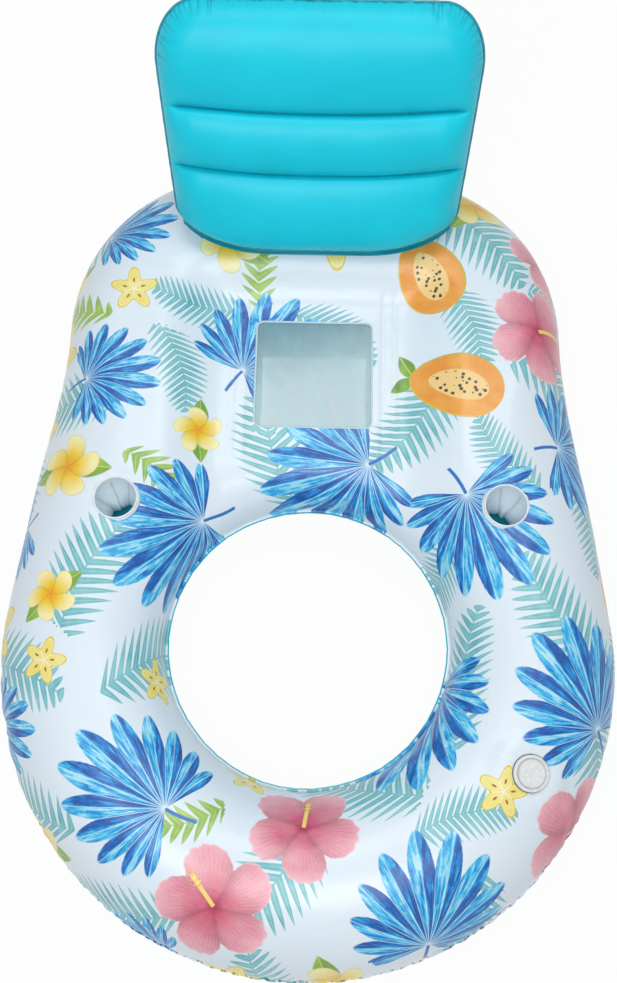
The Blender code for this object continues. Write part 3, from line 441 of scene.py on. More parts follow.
def draw_fan(motif):
    """A blue fan palm leaf of narrow folded fingers."""
    look = motif.look
    across = motif.across * 1.16
    up = motif.up * 1.16 + 0.60
    distance, bearing = motif.polar(across, up)
    spread = 2.05
    gap, share = ((bearing / (2.0 * spread) + 0.5) * 12.0).striped()
    reach = 1.50 - bearing.size() * 0.36
    limit = reach * (1.0 - (gap ** 1.8) * (0.30 + motif.grain * 0.08))
    inside = distance.below(limit, 0.03) * bearing.size().below(spread, 0.03)
    brush = look.node("CombineXYZ", None, {0: bearing * 9.0, 1: distance * 1.3, 2: motif.wash * 0.6})
    streak = look.noise(brush.outputs[0], 2.6, 3.0, 0.6)
    ramp = {"stops": ((0.30, "034FA0"), (0.41, "0A72C8"), (0.51, "1AA0E2"),
                      (0.61, "50C8F2"), (0.74, "B2E8FA"))}
    side = share.above(0.5, 0.10) * 0.20 + motif.wash * 0.25 - 0.16
    base = look.node("ValToRGB", ramp, {0: streak * 1.1 - side + distance * 0.04 - gap * 0.10}).outputs[0]
    rib = (gap * distance).below(0.036, 0.025)
    seam = ((1.0 - gap) * distance).below(0.030, 0.02) * distance.below(0.95, 0.2)
    stem = (across - up * up * 0.35).size().below(0.030, 0.012) * up.below(0.02, 0.02) * up.above(-0.42, 0.02)
    base = look.painted(base, (rib * 0.8, "CFEBF9"), (seam * 0.8, "E6F3FC"),
                        (stem * (1.0 - inside), "0F70C0"))
    return look.maths("MAXIMUM", inside, stem), base


def draw_hibiscus(motif):
    """A pink five-petalled flower with a yellow column."""
    look = motif.look
    distance, bearing = motif.polar(motif.across, motif.up)
    gap, share = petals(bearing + distance * 0.25)
    ruffle = look.maths("SINE", bearing * 31.0) * 0.012 + motif.grain * 0.07
    limit = 0.90 * (1.0 - (gap ** 2.6) * 0.36) + ruffle
    inside = distance.below(limit, 0.03)
    tone = (distance * 1.25 - 0.15 + (motif.wash - 0.5) * 0.9).clamped()
    base = look.colour(tone, "D65F7E", "F7BBC6")
    veins = look.maths("SINE", bearing * 60.0 + motif.grain * 6.0) * 0.5 + 0.5
    base = look.colour(veins.above(0.72, 0.2) * (1.0 - tone) * 0.5, base, "C24B6C")
    fold = (1.0 - share) ** 5.0 + (share ** 9.0)
    base = look.shade(base, 1.0 - fold * 0.30)
    edge = (limit - distance).below(0.05, 0.03)
    along, beside = motif.turned(0.62)
    column = beside.size().below(0.040, 0.015) * along.above(0.0, 0.02) * along.below(0.60, 0.03)
    ticks = look.maths("SINE", along * 70.0) * look.maths("SINE", beside * 60.0 + 1.5)
    pollen = ticks.above(0.30, 0.2) * beside.size().below(0.105, 0.02) * along.above(0.34, 0.03) \
        * along.below(0.68, 0.03)
    return inside, look.painted(base, (edge * 0.45, "FBDDE2"), (distance.below(0.15, 0.12), "A92F50"),
                                (column, "F8DC78"), (pollen, "EFB428"))


def draw_plumeria(motif):
    """A yellow flower with five turned petals over two green leaves."""
    look = motif.look
    leaf_one, rib_one, half_one = leaf_mask(motif, 2.15, 0.98, 0.25)
    leaf_two, rib_two, half_two = leaf_mask(motif, -1.15, 0.98, 0.25)
    green = ("5C9C3C", "A9D044", "DDEBA8")
    colour = leaf_colours(motif, *green, rib_one, half_one)
    other = leaf_colours(motif, *green, rib_two, half_two)
    colour = look.colour(leaf_two, colour, other)
    distance, bearing = motif.polar(motif.across, motif.up)
    gap, share = petals(bearing + distance * 0.9)
    limit = 0.70 * (1.0 - (gap ** 2.2) * 0.42)
    flower = distance.below(limit, 0.025)
    tone = (distance * 1.75 + (motif.wash - 0.5) * 0.5).clamped()
    ramp = {"stops": ((0.0, "EE9A1A"), (0.45, "F5D02C"), (1.0, "FCF3B4"))}
    petal = look.node("ValToRGB", ramp, {0: tone}).outputs[0]
    petal = look.shade(petal, 1.0 - (share ** 6.0) * 0.26)
    edge = (limit - distance).below(0.035, 0.02)
    petal = look.colour(edge * 0.5, petal, "F0B923")
    mask = look.maths("MAXIMUM", look.maths("MAXIMUM", leaf_one, leaf_two), flower)
    return mask, look.colour(flower, colour, petal)


def draw_starfruit(motif):
    """A slice of starfruit with a yellow rind, pale flesh and a seed in each arm."""
    look = motif.look
    distance, bearing = motif.polar(motif.across, motif.up)
    gap, _share = petals(bearing)
    wave = look.maths("COSINE", gap * math.pi)
    limit = 0.70 + wave * 0.23 + (motif.wash - 0.5) * 0.05
    inside = distance.below(limit, 0.02)
    flesh = look.colour(motif.wash.stretched(1.6), "F0DC50", "F8F0A8")
    rind = (limit - distance).below(0.085, 0.03)
    pith = ((limit - distance) - 0.12).size().below(0.022, 0.02)
    wall = ((1.0 - gap) * distance).below(0.045, 0.03) * distance.below(0.36, 0.06)
    streaks = look.maths("SINE", bearing * 44.0) * 0.5 + 0.5
    streaks = streaks.above(0.8, 0.2) * 0.35 * distance.above(0.15, 0.1)
    seed = ((distance - 0.36) / 0.10) ** 2.0 + (gap * distance * 0.63 / 0.040) ** 2.0
    return inside, look.painted(flesh, (rind, "E4C71C"), (pith * 0.8, "FDFBE6"), (wall, "FDFBE6"),
                                (streaks, "E9CF3A"), (seed.below(1.0, 0.3), "9A6420"))


def draw_papaya(motif):
    """Half a papaya with its hollow of dark seeds and two small leaves."""
    look = motif.look
    leaf_one, rib, half = leaf_mask(motif, 0.75, 0.50, 0.13, 0.0, 0.58)
    leaf_two, _rib, _half = leaf_mask(motif, -0.85, 0.46, 0.12, 0.0, 0.58)
    leaves = leaf_colours(motif, "4F8A4A", "A5CB35", "DDEBA8", rib, half)
    centre = (motif.up + 0.13) / 0.78
    width = centre.arc() * (0.54 - motif.up * 0.13)
    inside = motif.across.size().below(width, 0.02)
    tone = motif.wash.stretched(1.8)
    flesh = look.colour(tone, "EE8F28", "F8B95A")
    rind = (width - motif.across.size()).below(0.045, 0.02)
    side = look.colour(motif.across.above(0.0, 0.8), "F0C12C", "8FBB3A")
    low = (motif.up + 0.16) / 0.50
    hollow_width = low.arc() * (0.25 - motif.up * 0.08)
    hollow = motif.across.size().below(hollow_width, 0.02)
    stamp = look.node("CombineXYZ", None, {0: motif.across, 1: motif.up}).outputs[0]
    seeds = look.cells(stamp, 11.0).below(0.36, 0.05) * motif.across.size().below(hollow_width - 0.035, 0.02)
    fruit = look.painted(flesh, (rind, side), (hollow, "F9D48E"), (seeds, "4A4338"))
    mask = look.maths("MAXIMUM", look.maths("MAXIMUM", leaf_one, leaf_two), inside)
    return mask, look.colour(inside, leaves, fruit)


def draw_frond(motif, count, width, slope, fill, low, high):
    """A frond of paired leaflets along a curved stalk."""
    look = motif.look
    bend = motif.across - (motif.up * motif.up - 0.4) * 0.22
    reach = bend.size()
    level = (motif.up + 0.06) / 0.98
    envelope = level.arc() * width
    gap, _share = ((motif.up - reach * slope) * count).striped()
    taper = 1.0 - (reach / envelope.above(-0.02, 1.0)) ** 2.0
    leaflet = gap.below(taper * fill, 0.10) * reach.below(envelope, 0.02)
    stalk = reach.below(0.017, 0.012) * motif.up.size().below(0.93, 0.02)
    base = look.colour(motif.wash.stretched(1.8), low, high)
    return look.maths("MAXIMUM", leaflet, stalk), look.colour(gap.below(0.10, 0.08) * 0.4, base, "DDF1F1")


def draw_fern(motif):
    """A pale teal fern frond."""
    return draw_frond(motif, 7.5, 0.52, 0.60, 0.80, "4FA9B5", "93D3D8")


def draw_sprig(motif):
    """A sprig of green leaves."""
    return draw_frond(motif, 3.4, 0.50, 0.75, 0.86, "6FA63C", "B8D95A")


def printed_film():
    """White vinyl film with its leaf, flower and fruit print, and painted shade in the creases by the outer
    seam.
    """
    look = Look("printed_film")
    place = look.attribute("film")
    cloud = look.noise(place, 3.0, 2.0)
    colour = look.colour(cloud, "DEEDF9", "E9F4FC")
    for name, drawings in (("back_motif", ((FERN, draw_fern), (SPRIG, draw_sprig))),
                           ("front_motif", ((FAN, draw_fan), (HIBISCUS, draw_hibiscus),
                                            (PLUMERIA, draw_plumeria), (STARFRUIT, draw_starfruit),
                                            (PAPAYA, draw_papaya)))):
        motif = Motif(look, name)
        for kind, draw in drawings:
            mask, paint = draw(motif)
            colour = look.colour(mask * motif.of(kind), colour, paint)
    ripple = look.noise(place, 38.0, 3.0, 0.55)
    grain = look.noise(place, 420.0, 2.0)
    pinch = look.creases(look.attribute("seam"), 58.0, 0.090)
    # Painted shade: the colour is darkened in the short creases that run in from the outer seam
    colour = look.shade(colour, 1.0 - pinch * 0.62)
    look.relief(ripple + grain * 0.06 - pinch * 2.2, 0.0016, 0.55)
    return look.finish(colour, 0.30 + ripple * 0.10, 0.15, 0.12)


def solid_film(name, low, high, roughness=0.22, coat=0.4, scale=14.0):
    """Plain vinyl film of one colour, with slow shifts of tone and faint ripples."""
    look = Look(name)
    place = look.places()
    tone = look.noise(place, scale, 3.0, 0.55)
    colour = look.colour(tone.stretched(1.6), low, high)
    ripple = look.noise(place, 46.0, 2.0)
    grain = look.noise(place, 520.0, 1.0)
    look.relief(ripple + grain * 0.05, 0.0010, 0.5)
    return look.finish(colour, roughness + tone * 0.08, coat, 0.09)


def cushion_film():
    """The backrest's turquoise film, creased at its corners with painted shade, darker along the two welded
    lines (their own mark and painted shade) and with a painted shadow above each.
    """
    look = Look("backrest_film")
    place = look.places()
    tone = look.noise(place, 9.0, 3.0, 0.55)
    colour = look.colour(tone.stretched(1.6), "03CBE3", "05D8EF")
    pinch = look.creases(look.attribute("seam"), 88.0, 0.060)
    off_line, hold, _none = look.split(look.attribute("weld"))
    line = off_line.size().below(0.0022, 0.0016) * hold
    shadow = (1.0 - off_line / 0.020).clamped() * off_line.above(0.0, 0.001) * hold
    # Painted shade in the corner creases and along the weld lines, which are partly their own darker mark,
    # and a painted shadow 2 cm up the slope from each line
    colour = look.shade(colour, (1.0 - pinch * 0.45) * (1.0 - line * 0.40) * (1.0 - shadow * 0.16))
    ripple = look.noise(place, 46.0, 2.0)
    look.relief(ripple - pinch * 1.2, 0.0010, 0.5)
    return look.finish(colour, 0.40 + tone * 0.06 + line * 0.3, 0.0, specular=0.36)


def folded_film():
    """The cup sleeves' pale film, with painted shade along the crease of each fold."""
    look = Look("sleeve_film")
    tone = look.noise(look.places(), 22.0, 3.0, 0.55)
    colour = look.colour(tone.stretched(1.6), "DCEEF9", "EFF8FD")
    # Painted shade along each fold's crease, read from the fold attribute
    fold = look.split(look.attribute("fold"))[0]
    look.relief(look.noise(look.places(), 60.0, 2.0), 0.0010, 0.5)
    return look.finish(look.shade(colour, 1.0 - fold * 0.42), 0.36 + tone * 0.08, specular=0.35)


def net_cord():
    """Woven polyester net: pale blue-grey threads with a fine twist, and painted shade darkening them towards
    the head end and the left.
    """
    look = Look("net_cord")
    place = look.places()
    weave = look.noise(place, 900.0, 1.0)
    tone = look.noise(place, 40.0, 2.0)
    across, up, _height = look.split(place)
    # Painted shade: the threads darken towards the head end of the window and towards the left (-X), where
    # the well shades them
    headward = (up - (WINDOW_Y + SHIFT.y)) / WINDOW_HALF_LENGTH
    shade = (headward * 0.75 + 0.05 - across * 2.2 + (tone - 0.5) * 0.4).clamped()
    colour = look.colour(shade, "D3EBF1", "8CBACA")
    look.relief(weave, 0.0002, 0.6)
    return look.finish(look.shade(colour, 0.90 + weave * 0.2), 0.62, specular=0.3)


def moulded(name, low, high, roughness, groove=None):
    """Moulded plastic with faint mottling and a fine satin grain, and painted shade where a groove is marked.
    """
    look = Look(name)
    place = look.places()
    blotch = look.noise(place, 160.0, 3.0, 0.6)
    grain = look.noise(place, 1400.0, 1.0)
    colour = look.colour(blotch.stretched(1.8), low, high)
    if groove:
        # Painted shade in the marked groove
        colour = look.shade(colour, 1.0 - look.split(look.attribute(groove))[0] * 0.40)
    look.relief(blotch + grain * 0.2, 0.0003, 0.6)
    return look.finish(colour, roughness + blotch * 0.12, 0.0)


# Shapes in common
def present(name, bm, body, material, replaces=(), move=None, smooth=True):
    """Turn a bmesh into a finished piece that rides on a body and stands for CAD nodes."""
    mesh = bpy.data.meshes.new(name)
    bm.to_mesh(mesh)
    bm.free()
    if move is not None:
        mesh.transform(move)
    if smooth:
        mesh.shade_smooth()
    mesh.materials.append(material)
    piece = bpy.data.objects.new(name, mesh)
    bpy.context.scene.collection.objects.link(piece)
    if body is not None:
        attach(piece, body)
    if replaces:
        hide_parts(*replaces)
    return piece


def thickened(piece, thickness):
    """Give an open film its thickness, half of it on each side."""
    modifier = piece.modifiers.new("film", "SOLIDIFY")
    modifier.thickness = thickness
    modifier.offset = 0.0


def numbers(rows, name, kind, width=1):
    """One property of all rows of a mesh's data, as an array."""
    values = np.empty(len(rows) * width, dtype=kind)
    rows.foreach_get(name, values)
    return values.reshape(-1, width) if width > 1 else values


def lofted(places, closed=False, layers=None):
    """A grid laid over rows of places; closed joins the last row to the first."""
    rows, columns = places.shape[:2]
    bm = bmesh.new()
    bmesh.ops.create_grid(bm, x_segments=columns - 1, y_segments=rows - 1, size=0.5)
    mesh = bpy.data.meshes.new("loft")
    bm.to_mesh(mesh)
    bm.free()
    flat = numbers(mesh.vertices, "co", float, 3)
    column = np.rint((flat[:, 0] - flat[:, 0].min()) / np.ptp(flat[:, 0]) * (columns - 1)).astype(int)
    row = np.rint((flat[:, 1] - flat[:, 1].min()) / np.ptp(flat[:, 1]) * (rows - 1)).astype(int)
    mesh.vertices.foreach_set("co", places[row, column].ravel())
    for name, values in (layers or {}).items():
        layer = mesh.attributes.new(name, "FLOAT_VECTOR", "POINT")
        layer.data.foreach_set("vector", values[row, column].ravel())
    bm = bmesh.new()
    bm.from_mesh(mesh)
    bpy.data.meshes.remove(mesh)
    if closed:
        bm.verts.ensure_lookup_table()
        ends = [bm.verts[k] for k in np.flatnonzero((row == 0) | (row == rows - 1))]
        bmesh.ops.remove_doubles(bm, verts=ends, dist=1e-6)
    return bm


def tubed(places, closed_along, layers=None):
    """A closed skin over rows of places whose every row is a closed loop."""
    def looped(rows):
        """Repeat the first column, and the first row where the skin closes along its length."""
        rows = np.concatenate([rows, rows[:, :1]], axis=1)
        return np.concatenate([rows, rows[:1]], axis=0) if closed_along else rows

    bm = lofted(looped(places), layers={name: looped(values) for name, values in (layers or {}).items()})
    bmesh.ops.remove_doubles(bm, verts=bm.verts, dist=1e-6)
    if not closed_along:
        bmesh.ops.holes_fill(bm, edges=[edge for edge in bm.edges if edge.is_boundary])
    bmesh.ops.recalc_face_normals(bm, faces=bm.faces)
    return bm


def spun(profile, segments, closed=True):
    """A profile of (radius, height) turned about the Z axis; closed joins its ends."""
    bm = bmesh.new()
    points = [bm.verts.new((radius, 0.0, height)) for radius, height in profile]
    pairs = list(zip(points, points[1:]))
    if closed:
        pairs.append((points[-1], points[0]))
    edges = [bm.edges.new(pair) for pair in pairs if pair[0].co.x + pair[1].co.x > 0.0]
    bmesh.ops.spin(bm, geom=points + edges, cent=(0.0, 0.0, 0.0), axis=(0.0, 0.0, 1.0), dvec=(0.0, 0.0, 0.0),
                   angle=math.tau, steps=segments, use_merge=True, use_duplicate=False)
    bmesh.ops.remove_doubles(bm, verts=bm.verts, dist=1e-6)
    bmesh.ops.recalc_face_normals(bm, faces=bm.faces)
    return bm


def thread(radius, height, length, pitch, depth):
    """A raised screw thread: a small ridge wound about the Z axis."""
    turns = length / pitch
    bm = bmesh.new()
    ridge = ((radius, 0.0), (radius + depth, pitch * 0.30), (radius, pitch * 0.60))
    points = [bm.verts.new((x, 0.0, height + z)) for x, z in ridge]
    edges = [bm.edges.new((points[k], points[(k + 1) % 3])) for k in range(3)]
    steps = int(THREAD_STEPS * turns)
    end = bmesh.ops.spin(bm, geom=points + edges, cent=(0.0, 0.0, 0.0), axis=(0.0, 0.0, 1.0),
                         dvec=(0.0, 0.0, length / steps), angle=math.tau * turns, steps=steps,
                         use_merge=False, use_duplicate=False)
    last = [item for item in end["geom_last"] if isinstance(item, bmesh.types.BMVert)]
    bm.faces.new(points)
    bm.faces.new(last)
    bmesh.ops.recalc_face_normals(bm, faces=bm.faces)
    return bm


def joined(bm, other, move=None):
    """Add another bmesh to one."""
    mesh = bpy.data.meshes.new("part")
    other.to_mesh(mesh)
    other.free()
    if move is not None:
        mesh.transform(move)
    bm.from_mesh(mesh)
    bpy.data.meshes.remove(mesh)
    return bm


def onto_window(offset, half, corner):
    """The nearest point of a rounded rectangle to a point given from its middle."""
    size = np.abs(offset)
    inner = half - corner
    over = size - inner
    if over[0] > 0.0 and over[1] > 0.0:
        place = inner + over / max(np.hypot(*over), 1e-9) * corner
    elif over[0] > over[1]:
        place = np.array([half[0], size[1]])
    else:
        place = np.array([size[0], half[1]])
    return np.copysign(place, offset)


def window_loop(grow, count):
    """Evenly turned points of the window's outline, grown outwards, in the drawing's own place."""
    half = np.array([WINDOW_HALF_WIDTH + grow, WINDOW_HALF_LENGTH + grow])
    points = []
    for k in range(count):
        angle = math.tau * (k + 0.5) / count
        direction = np.array([math.cos(angle), math.sin(angle)])
        reach = (half / np.maximum(np.abs(direction), 1e-9)).min()
        points.append(onto_window(direction * reach, half, WINDOW_CORNER + grow))
    return np.array(points) + (0.0, WINDOW_Y)


def evenly_spaced(loop, count):
    """Points at even stations along a closed loop, the stations, and the whole length."""
    along = np.concatenate([[0.0], np.cumsum(np.linalg.norm(np.diff(loop, axis=0), axis=1))])
    stations = np.linspace(0.0, along[-1], count + 1)[:-1]
    return np.stack([np.interp(stations, along, loop[:, k]) for k in (0, 1)], axis=1), stations, along[-1]


# The ring's films
def ring_edge(count):
    """The ring's outer edge at evenly spaced stations, anticlockwise from the foot."""
    angle = np.linspace(-math.pi / 2.0, SIDE_START, EDGE_DENSITY)
    foot = np.stack([FOOT_RADIUS * np.cos(angle), FOOT_RADIUS * np.sin(angle) - FOOT_SHIFT], axis=1)
    start = foot[-1]
    end = np.array([HEAD_HALF_WIDTH, HEAD_CENTRE_Y])
    run = np.linalg.norm(end - start)
    leave = start + np.array([-math.sin(SIDE_START), math.cos(SIDE_START)]) * run * SIDE_HANDLE_SHARES[0]
    arrive = end - np.array([0.0, run * SIDE_HANDLE_SHARES[1]])
    t = np.linspace(0.0, 1.0, EDGE_DENSITY)[1:, None]
    s = 1.0 - t
    side = start * s ** 3 + leave * 3.0 * s * s * t + arrive * 3.0 * s * t * t + end * t ** 3
    angle = np.linspace(0.0, math.pi / 2.0, EDGE_DENSITY)[1:]
    head = np.stack([HEAD_HALF_WIDTH * np.maximum(np.cos(angle), 0.0) ** (2.0 / HEAD_POWER),
                     HEAD_CENTRE_Y + HEAD_LENGTH * np.sin(angle) ** (2.0 / HEAD_POWER)], axis=1)
    right = np.concatenate([foot, side, head])
    right[0, 0] = 0.0
    right[-1, 0] = 0.0
    loop = np.concatenate([right, right[-2:0:-1] * (-1.0, 1.0), right[:1]])
    return evenly_spaced(loop, count)


def fullness(x, y):
    """How far the films stand off the seam plane here, as a share of a full tube."""
    across = 1.0 - ease(np.abs(x), SEAT_HALF_WIDTH, SEAT_HALF_WIDTH + SEAT_SIDE_BLEND)
    head = 1.0 - ease(y, SEAT_HEAD_Y, SEAT_HEAD_Y + SEAT_HEAD_BLEND)
    foot = ease(y, SEAT_FOOT_Y - SEAT_FOOT_BLEND, SEAT_FOOT_Y)
    return 1.0 - (1.0 - SEAT_FULLNESS_SHARE) * across * head * foot


class Film:
    """One film of the ring: its places, flat coordinates and distances from both seams."""

    def __init__(self, side, columns, rows, fine_rows):
        edge, self.along, self.total = ring_edge(columns)
        length = np.linalg.norm(edge, axis=1)
        outward = edge / length[:, None]
        span = (length - LEG_HOLE_RADIUS)[:, None]
        wide = ease(span, TUBE_SPAN, MATTRESS_SPAN)
        inner = mix(span / 2.0, SEAT_FRONT_ROUND, wide)
        outer = mix(span / 2.0, HEAD_ROUND, wide)
        share = np.linspace(0.0, 1.0, ARC_DENSITY)[None, :]
        hole_angle = mix(side * math.pi, side * math.pi / 2.0, share)
        far_angle = mix(side * math.pi / 2.0, OUTER_SEAM_ANGLE, share)
        hole_part = inner * (1.0 + np.cos(hole_angle))
        run = mix(inner, span - outer, share[:, 1:-1])
        far_part = span - outer * (1.0 - np.cos(far_angle))
        distance = np.concatenate([hole_part, run, far_part], axis=1)
        ones = np.ones_like(span)
        level = side * np.ones_like(share[:, 1:-1])
        parts = (np.sin(hole_angle), level, np.sin(far_angle))
        lift = np.concatenate([ones * part for part in parts], axis=1)
        plan = outward[:, None, :] * (LEG_HOLE_RADIUS + distance)[..., None]
        depth = np.where(lift > 0.0, CROWN_RISE, BELLY_DROP)
        height = SEAM_HEIGHT + depth * lift * fullness(plan[..., 0], plan[..., 1])
        path = np.concatenate([plan, np.maximum(height, 0.0)[..., None]], axis=2)
        steps = np.linalg.norm(np.diff(path, axis=1), axis=2)
        reach = np.concatenate([np.zeros_like(span), np.cumsum(steps, axis=1)], axis=1)
        middle_run = ARC_DENSITY + (ARC_DENSITY - 2) // 2
        crown_reach = reach[:, middle_run]
        crown_radius = LEG_HOLE_RADIUS + distance[:, middle_run]
        coarse = np.linspace(0.0, 1.0, rows - fine_rows + 1)
        fine = np.linspace(0.0, 1.0, fine_rows + 1)[1:]
        self.places = np.empty((columns, rows + 1, 3))
        self.reach = np.empty((columns, rows + 1))
        for k in range(columns):
            whole = reach[k, -1]
            rest = whole - OUTER_FINE_REACH
            picked = np.concatenate([coarse * rest, rest + fine * OUTER_FINE_REACH])
            self.reach[k] = picked
            for axis in range(3):
                self.places[k, :, axis] = np.interp(picked, reach[k], path[k, :, axis])
        radius = crown_radius[:, None] + self.reach - crown_reach[:, None]
        self.flat = np.concatenate([outward[:, None, :] * radius[..., None], self.reach[..., None]], axis=2)
        self.from_outer = self.reach[:, -1:] - self.reach
        self.outward = np.concatenate([outward, np.zeros((columns, 1))], axis=1)
        self.strength = np.ones(columns)
        self.side = side
        self.normals = self.measure_normals()

    def measure_normals(self):
        """Outward normals of the film."""
        along = np.roll(self.places, -1, axis=0) - np.roll(self.places, 1, axis=0)
        across = np.gradient(self.places, axis=1)
        return unit(np.cross(across, along)) * self.side

    def push(self, distance):
        """Move the film along its normals."""
        self.places = self.places + self.normals * distance[..., None]

    def rows_with_lips(self, lip_drop):
        """The film's places with a short weld lip at both seams, and what its material reads there."""
        out = self.outward * math.cos(OUTER_SEAM_ANGLE) + np.array(UP) * math.sin(OUTER_SEAM_ANGLE)
        places = self.places.copy()
        places[:, [0, -1], 2] -= lip_drop
        hole_lip = places[:, :1] - self.outward[:, None] * (LIP + (HOLE_LIP_SHOWN if self.side < 0 else 0.0))
        outer_lip = places[:, -1:] + out[:, None] * LIP
        whole = np.concatenate([hole_lip, places, outer_lip], axis=1)
        along = np.broadcast_to(self.along[:, None], self.from_outer.shape)
        strength = np.broadcast_to(self.strength[:, None], self.from_outer.shape)
        layers = {"film": self.flat, "seam": np.stack([along, self.from_outer, strength], axis=2)}
        for name, values in layers.items():
            values = np.concatenate([values[:, :1], values, values[:, -1:]], axis=1)
            layers[name] = np.concatenate([values, values[:1]], axis=0)
        return np.concatenate([whole, whole[:1]], axis=0), layers


def puckers(rng, along, away, total, spacing, depth, reach, width, strength):
    """Creases that run in from a seam: valleys that widen and fade into the film."""
    push = np.zeros_like(away)
    place = 0.0
    while place < total:
        share = rng.uniform(0.35, 1.0)
        deep = depth * share * strength(place)
        long = reach * rng.uniform(0.45, 1.0) * (0.5 + 0.5 * share)
        slant = rng.uniform(-0.22, 0.22)
        narrow = width * rng.uniform(0.75, 1.3)
        offset = (along - place - slant * away + total / 2.0) % total - total / 2.0
        spread = narrow * (1.0 + away / long * 1.6)
        valley = np.exp(-np.abs(offset / spread) ** 1.5)
        fade = (0.5 + 0.5 * ease(away, 0.0, 0.010)) * (1.0 - ease(away, 0.2 * long, long))
        push -= deep * valley * fade
        place += spacing * rng.uniform(0.6, 1.5)
    return push


def calm_places(x, y):
    """0 at the cups, the valve and the window, where the film is held, and 1 away from them."""
    calm = np.ones_like(x)
    held = [(middle(node), CUP_RADIUS + 0.006, CUP_RADIUS + 0.040) for node in CUP_SLEEVES]
    held.append((VALVE_POINT - SHIFT, COLLAR_RADIUS + 0.010, COLLAR_RADIUS + 0.050))
    for place, near, far in held:
        calm *= ease(np.hypot(x - place.x, y - place.y), near, far)
    over = np.maximum(np.abs(x) - WINDOW_HALF_WIDTH, np.abs(y - WINDOW_Y) - WINDOW_HALF_LENGTH)
    return calm * ease(over, 0.004, 0.030)


def swell(x, y, size):
    """Slow rises and hollows of an air-filled film."""
    waves = ((17.0, 9.0, 0.4), (-11.0, 21.0, 1.9), (27.0, -14.0, 3.1), (-31.0, -23.0, 5.2), (45.0, 12.0, 2.2))
    height = np.zeros_like(x)
    for across, along, phase in waves:
        height += np.sin(across * x + along * y + phase) * 17.0 / math.hypot(across, along)
    return height * size / 2.0


def shape_top(film, rng, sizes):
    """Give the top film its puckers, welds, dimples and swells."""
    x, y = film.places[..., 0], film.places[..., 1]
    edge_y = film.places[:, -1, 1]

    def outer_strength(place):
        """Deep at the foot, shallow on the upper sides."""
        at = np.interp(place, film.along, edge_y)
        return float(0.50 + 0.50 * (1.0 - ease(at, -0.15, 0.25)) + 0.20 * ease(at, 0.60, 0.80))

    along = film.along[:, None]
    # How strongly the top film's material paints shade into the outer seam's creases: full at the foot, faint
    # up the sides
    film.strength = 0.08 + 0.92 * (1.0 - ease(edge_y, -0.20, 0.04))
    push = puckers(rng, along, film.from_outer, film.total, sizes.pucker_spacing, sizes.pucker_depth,
                   sizes.pucker_reach, PUCKER_WIDTH, outer_strength)
    hole_total = math.tau * LEG_HOLE_RADIUS
    bearing = np.unwrap(np.arctan2(film.outward[:, 1], film.outward[:, 0]))[:, None] * LEG_HOLE_RADIUS
    push += puckers(rng, bearing, film.reach, hole_total, 0.040, 0.0018, 0.060, 0.0050,
                    lambda place: 1.0)
    push += swell(film.flat[..., 0], film.flat[..., 1], sizes.swell)
    push *= calm_places(x, y)
    ends = ease(y, TIE_START_Y - 0.02, TIE_START_Y + 0.03)
    ends = ends * (1.0 - ease(y, TIE_END_Y - 0.03, TIE_END_Y + 0.02))
    on_top = ease(film.places[..., 2], SEAM_HEIGHT + 0.03, SEAM_HEIGHT + 0.06)
    for centre in (-TIE_X, TIE_X):
        beside = x - centre
        groove = np.exp(-(np.abs(np.abs(beside) - TIE_GROOVE_BESIDE) / TIE_GROOVE_WIDTH) ** 2.0)
        dip = np.exp(-(beside / TIE_DIP_WIDTH) ** 2.0)
        ripple = TIE_RIPPLE * np.sin(y * 340.0 + centre * 50.0) * dip
        push -= (groove * TIE_GROOVE_DEPTH + dip * sizes.tie_dip + ripple) * ends * on_top
    for node in CUP_SLEEVES:
        cup = middle(node)
        away = np.hypot(x - cup.x, y - cup.y)
        turn = np.arctan2(y - cup.y, x - cup.x)
        drawn = (1.0 - ease(away, CUP_RADIUS, CUP_RADIUS + 0.030)) * on_top
        push -= (CUP_DRAW + CUP_DRAW_WAVE * np.sin(turn * 11.0 + cup.x * 9.0)) * drawn
    film.push(push)
    flatten_at_valve(film)


def flatten_at_valve(film):
    """Draw the film flat round the stiff collar of the main valve, with short creases about it."""
    axis = np.array(VALVE_AXIS)
    centre = np.array(VALVE_POINT - SHIFT)
    offset = film.places - centre
    up = offset @ axis
    flat = offset - up[..., None] * axis
    away = np.linalg.norm(flat, axis=-1)
    turn = np.arctan2(flat[..., 1], flat[..., 0])
    near = (1.0 - ease(away, COLLAR_RADIUS + 0.005, COLLAR_RADIUS + 0.042)) * (up > -0.05)
    crease = np.abs(np.sin(turn * 9.0 + np.sin(turn * 2.0))) ** 0.5 - 0.6
    ring = ease(away, COLLAR_RADIUS, COLLAR_RADIUS + 0.012) * (1.0 - ease(away, 0.045, 0.070)) * (up > -0.05)
    push = near * (COLLAR_STAND - up) + ring * crease * COLLAR_CREASE
    film.places = film.places + axis * push[..., None]


